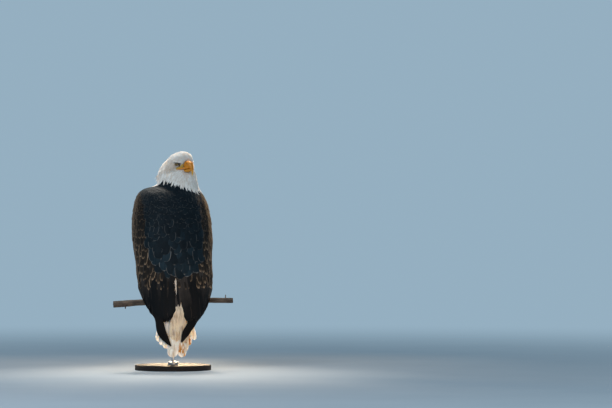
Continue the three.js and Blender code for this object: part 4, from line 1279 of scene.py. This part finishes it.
for name, (face, highest, rows, reach) in COVERTS.items():
    rng = np.random.default_rng(63 + face)
    starts, ends, widths = [], [], []
    for row in range(rows):
        root = (highest - 15 * row) * MM
        spread = reach * (0.22 + 0.78 * row / rows) * MM
        for x in np.linspace(-1, 1, 5 + row % 2) + rng.uniform(-0.1, 0.1, 5 + row % 2):
            tip = root - rng.uniform(56, 78) * MM
            over = face * (2.2 - 0.3 * row + rng.uniform(-0.3, 0.3)) * MM
            high, low = x * spread * 0.7 + COVERT_MIDDLE, x * spread + COVERT_MIDDLE
            starts.append((high, covert_depth(face, high, root) + over - face * 3 * MM, root))
            ends.append((low, covert_depth(face, low, tip) + over, tip))
            widths.append(rng.uniform(8, 12) * MM)
    starts, ends = np.array(starts) + ON_BRANCH, np.array(ends) + ON_BRANCH
    leaning = (ends[:, 0] - COVERT_MIDDLE) * 7
    ups = np.column_stack([leaning, np.full(len(ends), face), np.zeros(len(ends))])
    piece = straight(name, starts, ends, unit(ups), np.array(widths), round_vane, covert_vane_painted_shade,
                     columns=7, camber=0.07, thick=0.4 * MM, fray=0.06, seed=65, roots_uv=body_uv(starts),
                     patch=0.003, tones=rng.uniform(0, 0.3, len(starts)))


# ---- The bill ----
# Yellow horn, hooked at its tip, under a soft waxy cere that holds the nostrils. A fold of yellow
# skin runs back from it to below each eye. Cast in one piece and polished by wear at the hook.

# Each slice of the bill, in mm of the head's frame: top edge (y, z), bottom edge (y, z), half width.
UPPER_BILL = [((12, 6), (12, -18), 13), ((25, 13), (24, -19.5), 15), ((39, 12.5), (38, -19), 13),
              ((50, 7), (45, -19), 11), ((56.5, -4), (49.5, -21), 8.4), ((60, -18), (52.5, -27), 5.6),
              ((59, -32), (53.5, -36), 3.5), ((56, -46), (54.5, -47), 0.9)]
LOWER_BILL = [((8, -19), (8, -29), 14), ((26, -18.5), (26, -31), 12.5), ((38, -18.5), (37, -30), 9.8),
              ((47, -20), (46, -27), 5), ((50, -22), (49.5, -25), 1.8)]
GAPE = {"corner": (37, -2, -20), "middle": (29, 12.5, -18.8), "front": (13.5, 31, -15.5),
        "end": (8.5, 44, -14), "radius": 3.2}
BILL_GRID = 0.6 * MM


def lofted(slices, rings, sides, square=2.3):
    """A closed body through slices (centre, side, up) with a squarish round outline, in the head frame."""
    rows = smooth_rows(np.array([np.concatenate(s) for s in slices]), np.linspace(0, 1, rings))
    angles = np.linspace(0, 2 * math.pi, sides, endpoint=False)
    across = np.sign(np.cos(angles)) * np.abs(np.cos(angles)) ** (2 / square)
    along = np.sign(np.sin(angles)) * np.abs(np.sin(angles)) ** (2 / square)
    points = (rows[:, None, :3] + rows[:, None, 3:6] * across[None, :, None]
              + rows[:, None, 6:9] * along[None, :, None]).reshape(-1, 3)
    grid = np.arange(rings * sides).reshape(rings, sides)
    a, b = grid[:-1], grid[1:]
    quads = np.stack([a, np.roll(a, -1, 1), np.roll(b, -1, 1), b], -1).reshape(-1, 4)
    return points, [*quads.tolist(), grid[0, ::-1].tolist(), grid[-1].tolist()]


def upright(slices):
    """Slices that stand across the bill, from their top and bottom edges and half width, in mm."""
    made = []
    for (top_y, top_z), (low_y, low_z), half in slices:
        top, bottom = np.array([0, top_y, top_z]), np.array([0, low_y, low_z])
        made.append(((top + bottom) / 2 * MM, np.array([half, 0, 0]) * MM, (top - bottom) / 2 * MM))
    return made


def gape_slices(sign):
    """Slices of the fold of skin on one side, from its corner below the eye to its end on the bill."""
    made = []
    for part, share in (("corner", 0.4), ("middle", 0.8), ("front", 1.15), ("end", 0.5)):
        radius = GAPE["radius"] * share * MM
        centre = np.array(GAPE[part]) * [sign, 1, 1] * MM
        made.append((centre, np.array([0, 0, radius]), np.array([radius, 0, 0])))
    return made


def merged(bodies):
    """Several bodies' points and faces as one."""
    points, faces, count = [], [], 0
    for body_points, body_faces in bodies:
        points.append(body_points)
        faces += [[i + count for i in face] for face in body_faces]
        count += len(body_points)
    return np.vstack(points), faces


def bill_horn(tree):
    """Waxy cere and polished horn: deep yellow, paler and harder towards the hook, the paleness partly a
    painted glow of light through the thin tip, faintly streaked, and with painted shade in the nostrils.
    """
    place = add(tree, "Attribute", attribute_name="head_place")
    split = add(tree, "SeparateXYZ", {0: place.outputs["Vector"]})
    hard = add(tree, "MapRange", {"Value": split.outputs[1], "From Min": 36 * MM, "From Max": 41 * MM})
    tip = add(tree, "MapRange", {"Value": split.outputs[2], "From Min": -20 * MM, "From Max": -44 * MM})
    long_grain = add(tree, "Mapping", {"Vector": place.outputs["Vector"], "Scale": (1.0, 0.3, 0.6)})
    streak = add(tree, "TexNoise", {"Vector": long_grain.outputs[0], "Scale": per(2.63), "Detail": 4.0})
    pits = add(tree, "TexNoise", {"Vector": place.outputs["Vector"], "Scale": per(1.11), "Detail": 3.0})
    cere = add(tree, "Mix", {0: pits.outputs[0], 6: linear("#b96a03"), 7: linear("#d3890d")},
               data_type="RGBA")
    horn = add(tree, "Mix", {0: streak.outputs[0], 6: linear("#b56605"), 7: linear("#da8b12")},
               data_type="RGBA")
    both = add(tree, "Mix", {0: hard.outputs[0], 6: cere.outputs[2], 7: horn.outputs[2]},
               data_type="RGBA")
    # Paler towards the hook: partly paler horn, partly a painted glow of light through the thin tip.
    pale = add(tree, "Mix", {0: tip.outputs[0], 6: both.outputs[2], 7: linear("#ecb43c")},
               data_type="RGBA")
    # Near-black nostrils: painted shade in the holes.
    nostril = add(tree, "Attribute", attribute_name="nostril")
    deep = add(tree, "Mix", {0: nostril.outputs["Fac"], 6: pale.outputs[2], 7: linear("#3a1f06")},
               data_type="RGBA")
    rough = add(tree, "MapRange", {"Value": hard.outputs[0], "To Min": 0.5, "To Max": 0.32})
    height = add(tree, "Math", {0: streak.outputs[0], 1: pits.outputs[0]}, operation="ADD")
    bump = add(tree, "Bump", {"Height": height.outputs[0], "Strength": 0.25, "Distance": 0.3 * MM})
    return {"Base Color": deep.outputs[2], "Roughness": rough.outputs[0], "Normal": bump.outputs[0],
            "Subsurface Weight": 0.15, "Subsurface Radius": (1.0, 0.5, 0.15), "Subsurface Scale": 2 * MM}


NOSTRIL = {"place": np.array([11.5, 37, 2.5]) * MM, "long": 3.6 * MM, "wide": 1.7 * MM, "deep": 3.0 * MM}
CERE_EDGE = {"y": 39.5 * MM, "slope": 0.12, "groove": 0.55 * MM, "wide": 0.9 * MM}
horn = finish("yellow_bill_horn", bill_horn)


def bill_piece(name, bodies, nodes):
    """A bill half: its bodies joined on a fine grid, with the cere's edge and the nostrils pressed in."""
    points, faces = merged(bodies)
    piece = evened(name, from_head(points), faces, BILL_GRID, 6, horn)
    points, normals = places_of(piece)
    local = in_head(points)
    edge = local[:, 1] - CERE_EDGE["y"] - CERE_EDGE["slope"] * local[:, 2]
    groove = CERE_EDGE["groove"] * np.exp(-(edge / CERE_EDGE["wide"]) ** 2)
    swell = 0.5 * MM * smoothstep(-edge, 0, 3 * MM)
    to_hole = mirrored(local) - NOSTRIL["place"]
    slant = (to_hole[:, 2] * 0.9 - to_hole[:, 1] * 0.44) / NOSTRIL["long"]
    across = (to_hole[:, 1] * 0.9 + to_hole[:, 2] * 0.44) / NOSTRIL["wide"]
    hole = 1 - smoothstep(np.hypot(slant, across), 0.45, 1.15)
    hole *= local[:, 2] > -8 * MM
    stored = piece.data.attributes.new("head_place", "FLOAT_VECTOR", "POINT")
    stored.data.foreach_set("vector", local.ravel())
    piece.data.attributes.new("nostril", "FLOAT", "POINT").data.foreach_set("value", hole)
    reshape(piece, points + normals * (swell - groove - NOSTRIL["deep"] * hole)[:, None])
    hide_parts(nodes)
    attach(piece, "root")


upper = [lofted(upright(UPPER_BILL), 60, 40)] + [lofted(gape_slices(s), 20, 16) for s in (-1, 1)]
bill_piece("bill_upper_horn", upper, "bill_upper")
bill_piece("bill_lower_horn", [lofted(upright(LOWER_BILL), 40, 32)], "bill_lower")


# ---- The eyes ----
# Glass eyes: a straw-yellow iris darkened to amber as painted shade of the brow, round a wide black
# pupil under a clear bulging front, each set deep between dusky lids that are painted darker still as
# shade, with a ridge of bare skin over it that gives the bird its frown.

def eye_glass(tree):
    """Painted glass: black pupil, iris flecked outward from it in a dark amber that is painted shade of
    the brow, a dark ring round that, and the dull brown of the ball in the lids' shadow."""
    off = add(tree, "Attribute", attribute_name="off_axis")
    round_it = add(tree, "Attribute", attribute_name="round_axis")
    spoke = add(tree, "CombineXYZ", {0: round_it.outputs["Fac"], 1: off.outputs["Fac"]})
    stretched = add(tree, "Mapping", {"Vector": spoke.outputs[0], "Scale": (9.0, 1.5, 1.0)})
    fleck = add(tree, "TexNoise", {"Vector": stretched.outputs[0], "Scale": 2.0, "Detail": 4.0})
    # The iris is darker than a pale yellow one: painted shade of the brow.
    iris = add(tree, "Mix", {0: fleck.outputs[0], 6: linear("#7a5510"), 7: linear("#bd9433")},
               data_type="RGBA")
    ring = add(tree, "MapRange", {"Value": off.outputs["Fac"], "From Min": 0.5, "From Max": 0.54})
    edged = add(tree, "Mix", {0: ring.outputs[0], 6: iris.outputs[2], 7: linear("#1c1408")},
                data_type="RGBA")
    outside = add(tree, "MapRange", {"Value": off.outputs["Fac"], "From Min": 0.74, "From Max": 0.78})
    ringed = add(tree, "Mix", {0: outside.outputs[0], 6: edged.outputs[2], 7: linear("#4f463b")},
                 data_type="RGBA")
    hole = add(tree, "MapRange", {"Value": off.outputs["Fac"], "From Min": 0.25, "From Max": 0.275,
                                  "To Min": 1.0, "To Max": 0.0})
    eye = add(tree, "Mix", {0: hole.outputs[0], 6: ringed.outputs[2], 7: linear("#050505")},
              data_type="RGBA")
    return {"Base Color": eye.outputs[2], "Roughness": 0.2, "Coat Weight": 0.4, "Coat Roughness": 0.02}


def lid_skin(tree):
    """Bare skin of the lids and brow: dusky grey with a yellow cast, painted near black as shade under the
    brow, finely creased.
    """
    place = add(tree, "TexCoord").outputs["Object"]
    crease = add(tree, "TexNoise", {"Vector": place, "Scale": per(0.714), "Detail": 3.0})
    # Near-black skin colours: painted shade under the brow.
    colour = add(tree, "Mix", {0: crease.outputs[0], 6: linear("#140e08"), 7: linear("#3c2a12")},
                 data_type="RGBA")
    bump = add(tree, "Bump", {"Height": crease.outputs[0], "Strength": 0.5, "Distance": 0.3 * MM})
    return {"Base Color": colour.outputs[2], "Roughness": 0.6, "Normal": bump.outputs[0]}


def bare_lores(tree):
    """Bare skin before the eye: ochre yellow, finely wrinkled, with dark bristles few and far between."""
    place = add(tree, "TexCoord").outputs["Object"]
    wrinkle = add(tree, "TexNoise", {"Vector": place, "Scale": per(1.43), "Detail": 5.0})
    bristle_place = add(tree, "Mapping", {"Vector": place, "Scale": (1.0, 1.0, 0.35)})
    bristle = add(tree, "TexNoise", {"Vector": bristle_place.outputs[0], "Scale": per(0.526),
                                     "Detail": 2.0})
    yellow = add(tree, "Mix", {0: wrinkle.outputs[0], 6: linear("#9c7518"), 7: linear("#c89d32")},
                 data_type="RGBA")
    dark = add(tree, "MapRange", {"Value": bristle.outputs[0], "From Min": 0.6, "From Max": 0.7,
                                  "To Max": 0.55})
    colour = add(tree, "Mix", {0: dark.outputs[0], 6: yellow.outputs[2], 7: linear("#3a2c18")},
                 data_type="RGBA")
    bump = add(tree, "Bump", {"Height": wrinkle.outputs[0], "Strength": 0.5, "Distance": 0.4 * MM})
    return {"Base Color": colour.outputs[2], "Roughness": 0.55, "Normal": bump.outputs[0],
            "Subsurface Weight": 0.1, "Subsurface Radius": (1.0, 0.5, 0.2), "Subsurface Scale": 2 * MM}


EYE_RADIUS = 12 * MM
lores_skin = finish("bare_lores_skin", bare_lores)
GAZE = np.array([0.90, 0.42, -0.05])  # out to the side and forward, in the head's frame
OPENING = {"long": 8.0 * MM, "high": 5.1 * MM, "tilt": math.radians(8)}  # half sizes between the lids
LID = 0.75 * MM
BULGE = {"high": 0.8 * MM, "from": 0.22, "to": 0.54}  # the clear front, in shares of the eye's radius
glass = finish("painted_glass_eye", eye_glass)
lid = finish("bare_lid_skin", lid_skin)


def ball(radius, rings, sides):
    """A unit-axis ball's points from pole to pole along +Z, and its faces."""
    polar = np.linspace(0, math.pi, rings)[1:-1]
    angles = np.linspace(0, 2 * math.pi, sides, endpoint=False)
    body = [(math.sin(p) * math.cos(a), math.sin(p) * math.sin(a), math.cos(p))
            for p in polar for a in angles]
    points = np.array([(0, 0, 1), *body, (0, 0, -1)]) * radius
    faces, last = [], len(points) - 1
    for j in range(sides):
        k = (j + 1) % sides
        faces += [(0, 1 + j, 1 + k), (last, last - sides + k, last - sides + j)]
        for i in range(1, 1 + (len(polar) - 1) * sides, sides):
            faces.append((i + j, i + sides + j, i + sides + k, i + k))
    return points, faces


def tiny_feathers(name, roots, normals, long, half, seed, palest=1.0):
    """Short feathers from these roots, that lie the way the head's plumage does. palest is the highest
    tone among them."""
    ways = head_flow(roots)
    ways = unit(ways - normals * (ways * normals).sum(1, keepdims=True))
    t = np.linspace(0, 1, 5)[None, :, None]
    lines = roots[:, None, :] + ways[:, None, :] * long * t + normals[:, None, :] * (1.1 * t - 0.5) * MM
    ups = np.broadcast_to(normals[:, None, :], lines.shape)
    sides = np.broadcast_to(np.cross(ways, normals)[:, None, :], lines.shape)
    halves = half * pointed_vane(t) * np.ones((len(roots), 1, 2))
    tones = np.random.default_rng(seed).uniform(0, palest, len(roots))
    piece = blades(name, lines, ups, sides, halves, white_feather, roots_uv=head_uv(in_head(roots)),
                   patch=0.003, columns=3, thick=0.4 * MM, seed=seed, tones=tones)


# The brow's ridge from the lores to behind the eye: where its middle runs, and its radii, in mm.
BROW = np.array([(19, 25, 4), (29, 18, 6.5), (37, 10, 8.4), (41, 0, 9.4), (41, -10, 8.4), (37.5, -20, 5)])
BROW_RADII = np.array([1.2, 2.5, 3.4, 3.7, 2.8, 0.8])
# The rings of small feathers round the lids: how many, and how far out in shares of the opening.
LID_RINGS = ((33, 1.34), (36, 1.48))


def on_ball(flat_x, flat_y, proud):
    """How far along the gaze the ball lies at these places across it, with this much to spare."""
    return np.sqrt(np.maximum(EYE_RADIUS ** 2 - flat_x ** 2 - flat_y ** 2, 0)) + proud


for side, sign in (("left", -1), ("right", 1)):
    gaze = unit(GAZE * [sign, 1, 1])
    upward = unit(np.array([0, 0, 1]) - gaze * gaze[2])
    onward = np.cross(upward, gaze) * -sign
    onward *= np.sign(onward[1])
    tilted = onward * math.cos(OPENING["tilt"]) - upward * math.sin(OPENING["tilt"])
    upright_lid = onward * math.sin(OPENING["tilt"]) + upward * math.cos(OPENING["tilt"])
    centre = EYE_PLACE * [sign, 1, 1]
    points, faces = ball(EYE_RADIUS, 40, 64)
    off = np.hypot(points[:, 0], points[:, 1]) / EYE_RADIUS
    in_front = points[:, 2] > 0
    points[:, 2] += BULGE["high"] * (1 - smoothstep(off, BULGE["from"], BULGE["to"])) * in_front
    places = centre + points[:, :1] * tilted + points[:, 1:2] * upright_lid + points[:, 2:] * gaze
    if sign > 0:
        faces = [f[::-1] for f in faces]
    eye = mesh_piece(f"eye_{side}_glass", from_head(places), faces, glass)
    eye.data.shade_smooth()
    off = np.where(points[:, 2] > 0, off, 1.0)
    eye.data.attributes.new("off_axis", "FLOAT", "POINT").data.foreach_set("value", off)
    spin = np.arctan2(points[:, 1], points[:, 0]) / math.pi
    eye.data.attributes.new("round_axis", "FLOAT", "POINT").data.foreach_set("value", np.abs(spin))
    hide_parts("eye_" + side)
    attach(eye, "root")
    # The lids: a rolled ring that lies on the ball round an almond opening, thicker above.
    sweep = np.linspace(0, 2 * math.pi, 56, endpoint=False)
    high_share = np.where(np.sin(sweep) > 0, 0.82, 1.0)
    flat_x = OPENING["long"] * np.cos(sweep)
    flat_y = OPENING["high"] * np.sin(sweep) * high_share
    out = on_ball(flat_x, flat_y, 0.4 * MM)
    path = centre + flat_x[:, None] * tilted + flat_y[:, None] * upright_lid + out[:, None] * gaze
    from_middle = unit(path - centre)
    thick = LID * (1.0 + 0.35 * (np.sin(sweep) > 0))
    tube = np.linspace(0, 2 * math.pi, 12, endpoint=False)
    tangent = unit(np.roll(path, -1, 0) - np.roll(path, 1, 0))
    aside = unit(np.cross(tangent, from_middle))
    wide = np.cos(tube)[None, :, None] * aside[:, None, :] * 1.5
    high = np.sin(tube)[None, :, None] * from_middle[:, None, :] * 0.8
    roll = path[:, None, :] + thick[:, None, None] * (wide + high)
    grid = np.arange(roll[..., 0].size).reshape(roll.shape[:2])
    a, b = grid, np.roll(grid, -1, 0)
    quads = np.stack([a, np.roll(a, -1, 1), np.roll(b, -1, 1), b], -1).reshape(-1, 4)
    lids = mesh_piece(f"eyelids_{side}", from_head(roll.reshape(-1, 3)), quads.tolist(), lid)
    lids.data.shade_smooth()
    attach(lids, "root")
    # The brow: a bony ridge that hangs over the eye from the lores to behind it, feathered on top.
    aside, upward = np.array([sign * 1.1, 0.22, 0]), np.array([0, 0, 1])
    slices = [(p, aside * r, upward * r) for p, r in zip(BROW * [sign, 1, 1] * MM, BROW_RADII * MM)]
    points, faces = lofted(slices, 28, 14, 2)
    brow = evened(f"brow_{side}", from_head(points), faces, 0.6 * MM, 3, lid)
    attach(brow, "root")
    points, normals = places_of(brow)
    _, first = np.unique(np.floor(points / (1.5 * MM)), axis=0, return_index=True)
    roots, normals = points[first], normals[first]
    above_lid = (normals[:, 2] > -0.45) & (in_head(roots)[:, 0] * sign > 18 * MM)
    roots, normals = roots[above_lid], normals[above_lid]
    tiny_feathers(f"brow_{side}_feathers", roots, normals, 4.6 * MM, 1.35 * MM, 71 + sign)
    # Round the lids the same small feathers close in, but for the bare corner towards the bill; they
    # keep to the darker buff tones as painted shade round the eye.
    sweep = np.concatenate([(np.arange(n) + 0.5 * (n % 4)) / n * 2 * math.pi for n, _ in LID_RINGS])
    ring = np.concatenate([np.full(n, far) for n, far in LID_RINGS])
    feathered = (np.cos(sweep) < 0.3) | ((np.sin(sweep) < -0.3) & (np.cos(sweep) < 0.8))
    sweep, ring = sweep[feathered], ring[feathered]
    flat_x = OPENING["long"] * ring * np.cos(sweep)
    flat_y = OPENING["high"] * (ring + 0.12) * np.sin(sweep)
    out = on_ball(flat_x, flat_y, 0.3 * MM)
    roots = flat_x[:, None] * tilted + flat_y[:, None] * upright_lid + out[:, None] * gaze
    tiny_feathers(f"lid_{side}_feathers", from_head(centre + roots), unit(roots) @ HEAD_AXES, 3.8 * MM,
                  1.1 * MM, 75 + sign, palest=0.5)
    # The lores: thin bare skin that joins the bill to the gape and to the eye's front corner.
    u, v = np.meshgrid(np.linspace(0, 1, 34), np.linspace(0, 1, 22), indexing="ij")
    forward = LORES["back"] + (LORES["front"] - LORES["back"]) * u
    height = LORES["low"] + (lores_top(forward) - LORES["low"]) * v
    across = (36 - 0.55 * np.maximum(forward / MM - 2, 0)) * MM * sign
    start = from_head(np.stack([across, forward, height], -1).reshape(-1, 3))
    found = [lie_tree.find_nearest(Vector(p)) for p in start]
    points = np.array([f[0] for f in found])
    normals = face_normals[[f[2] for f in found]]
    border = np.minimum(np.minimum(u, 1.3 - u) * 6, np.minimum(v, 1 - v) * 4).ravel()
    rise = (-0.7 + 1.5 * smoothstep(border, 0, 1)) * MM
    top, under = points + normals * rise[:, None], points - normals * 2.5 * MM
    grid = np.arange(u.size).reshape(u.shape)
    a, b, c, d = grid[:-1, :-1], grid[1:, :-1], grid[1:, 1:], grid[:-1, 1:]
    upper = np.stack([a, b, c, d], -1).reshape(-1, 4)
    lower = upper[:, ::-1] + u.size
    rim = np.concatenate([grid[:, 0], grid[-1, 1:], grid[-2::-1, -1], grid[0, -2:0:-1]])
    wall = np.stack([np.roll(rim, -1), rim, rim + u.size, np.roll(rim, -1) + u.size], 1)
    faces = np.concatenate([upper, lower, wall])
    faces = faces if sign < 0 else faces[:, ::-1]
    lores = mesh_piece(f"lores_{side}_skin", np.concatenate([top, under]), faces.tolist(), lores_skin)
    lores.data.shade_smooth()
    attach(lores, "root")


# ---- The feet ----
# Yellow legs and toes gripping the branch: broad overlapping scutes down the front of each shank and
# along the top of each toe, small pebbled scales elsewhere, and a black curved claw at each end.

# The branch's own axes: along it, level across it to the front, and up from it.
across, ahead = math.cos(BRANCH_TURN), math.sin(BRANCH_TURN)
level, climb = math.cos(BRANCH_RISE), math.sin(BRANCH_RISE)
BRANCH_AXES = np.array([[across * level, ahead * level, climb],
                        [-ahead, across, 0],
                        [-across * climb, -ahead * climb, level]])
FOOT_SPREAD = 45 * MM
BRANCH_RADIUS = {"left": 12.3 * MM, "right": 11.7 * MM}
# Where each toe starts and ends round the branch, in degrees, and along it, in mm.
TOES = {"inner": (78, -42, -7, -25, 1.0), "middle": (84, -58, 1, 3, 1.0), "outer": (78, -36, 8, 26, 0.92),
        "hind": (100, 208, -3, -11, 1.08)}
TOE_ROOT, TOE_END, TOE_OFF = 7.6 * MM, 5.4 * MM, 0.9 * MM
SCUTES, SHANK_SCUTES = 10, 12  # on each toe, and down each shank
SHANK_RADIUS = 8.2 * MM
FOOT_GRID = 0.8 * MM


def scaled_skin(tree):
    """Leg skin: waxy chrome yellow, pebbled with scales two millimetres across, darker in the creases."""
    place = add(tree, "TexCoord").outputs["Object"]
    scales = add(tree, "TexVoronoi", {"Vector": place, "Scale": per(2.08)}, feature="DISTANCE_TO_EDGE")
    crease = add(tree, "MapRange", {"Value": scales.outputs[0], "From Max": 0.16, "To Min": 1.0,
                                    "To Max": 0.0})
    cloud = add(tree, "TexNoise", {"Vector": place, "Scale": per(8.33), "Detail": 4.0})
    yellow = add(tree, "Mix", {0: cloud.outputs[0], 6: linear("#c58d14"), 7: linear("#e8bb38")},
                 data_type="RGBA")
    crease_dark = add(tree, "Math", {0: crease.outputs[0], 1: 0.55}, operation="MULTIPLY")
    colour = add(tree, "Mix", {0: crease_dark.outputs[0], 6: yellow.outputs[2], 7: linear("#6b4712")},
                 data_type="RGBA")
    bump = add(tree, "Bump", {"Height": scales.outputs[0], "Strength": 0.6, "Distance": 0.5 * MM})
    return {"Base Color": colour.outputs[2], "Roughness": 0.5, "Normal": bump.outputs[0],
            "Subsurface Weight": 0.1, "Subsurface Radius": (1.0, 0.5, 0.2), "Subsurface Scale": 2 * MM}


def scute(middle, along, out, radius, half_angle=1.15, wide=2.2 * MM, thick=0.9 * MM):
    """A bent plate round the upper side of a toe or shank: points and faces of a closed body."""
    aside = np.cross(along, out)
    angles = np.linspace(-half_angle, half_angle, 9)
    points = []
    for shift, grow in ((-wide, 0.1), (0, 1.0), (wide, 0.25)):
        for inner in (0, 1):
            for a in angles:
                r = radius + thick * (-1.2 if inner else grow * math.cos(a / half_angle * 1.35))
                points.append(middle + along * shift + (out * math.cos(a) + aside * math.sin(a)) * r)
    grid = np.arange(len(points)).reshape(3, 2, len(angles))
    loops = np.concatenate([grid[:, 0], grid[:, 1, ::-1]], 1)
    a, b = loops[:-1], loops[1:]
    quads = np.stack([a, np.roll(a, -1, 1), np.roll(b, -1, 1), b], -1).reshape(-1, 4)
    return np.array(points), [*quads.tolist(), loops[0, ::-1].tolist(), loops[-1].tolist()]


leg_skin = finish("scaled_leg_skin", scaled_skin)
for side, sign in (("left", -1), ("right", 1)):
    bodies = [(p, f.tolist()) for p, f in [welded("shank_" + side), welded("foot_" + side)]]
    foot_middle = BRANCH_AXES[0] * sign * FOOT_SPREAD + ON_BRANCH
    for start, end, along_from, along_to, size in TOES.values():
        t = np.linspace(0.06, 0.97, SCUTES)
        angles = np.radians(start + (end - start) * t)
        radii = size * (TOE_ROOT + (TOE_END - TOE_ROOT) * t)
        outs = np.cos(angles)[:, None] * BRANCH_AXES[1] + np.sin(angles)[:, None] * BRANCH_AXES[2]
        shifts = (along_from + (along_to - along_from) * t) * MM * sign
        middles = foot_middle + outs * (BRANCH_RADIUS[side] + TOE_OFF + radii)[:, None]
        middles += shifts[:, None] * BRANCH_AXES[0]
        ways = unit(np.gradient(middles, axis=0))
        bodies += [scute(m, w, unit(o - w * (o @ w)), r) for m, w, o, r in zip(middles, ways, outs, radii)]
    low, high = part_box("shank_" + side)
    top = np.array([sign * 47, -14, 0]) * MM + [0, 0, high.z]
    bottom = np.array([sign * 45, -4 - sign * 6.3, 0]) * MM + [0, 0, low.z]
    way = unit(top - bottom)
    front = unit(np.array([0, 1.0, 0]) - way * way[1])
    for s in np.linspace(0.02, 1, SHANK_SCUTES):
        bodies.append(scute(bottom + (top - bottom) * s, way, front, SHANK_RADIUS, wide=3.0 * MM))
    leg = evened(f"leg_{side}_skin", *merged(bodies), FOOT_GRID, 3, leg_skin)
    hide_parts("shank_" + side, "foot_" + side)
    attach(leg, "root")


def claw_horn(tree):
    """Black horn, polished by wear, with greyer mottling in fine growth lines."""
    place = add(tree, "TexCoord").outputs["Object"]
    lines = add(tree, "TexNoise", {"Vector": place, "Scale": per(1.43), "Detail": 4.0})
    colour = add(tree, "Mix", {0: lines.outputs[0], 6: linear("#0d0c0d"), 7: linear("#2b2825")},
                 data_type="RGBA")
    bump = add(tree, "Bump", {"Height": lines.outputs[0], "Strength": 0.2, "Distance": 0.2 * MM})
    return {"Base Color": colour.outputs[2], "Roughness": 0.28, "Normal": bump.outputs[0],
            "Coat Weight": 0.3}


CLAW_GRID = 0.45 * MM
black_horn = finish("black_claw_horn", claw_horn)
for side in ("left", "right"):
    for toe in TOES:
        node = f"claw_{side}_{toe}"
        claw = evened(node + "_horn", *welded(node), CLAW_GRID, 4, black_horn)
        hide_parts(node)
        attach(claw, "root")


# The box round everything as built.
low, high = cad_box
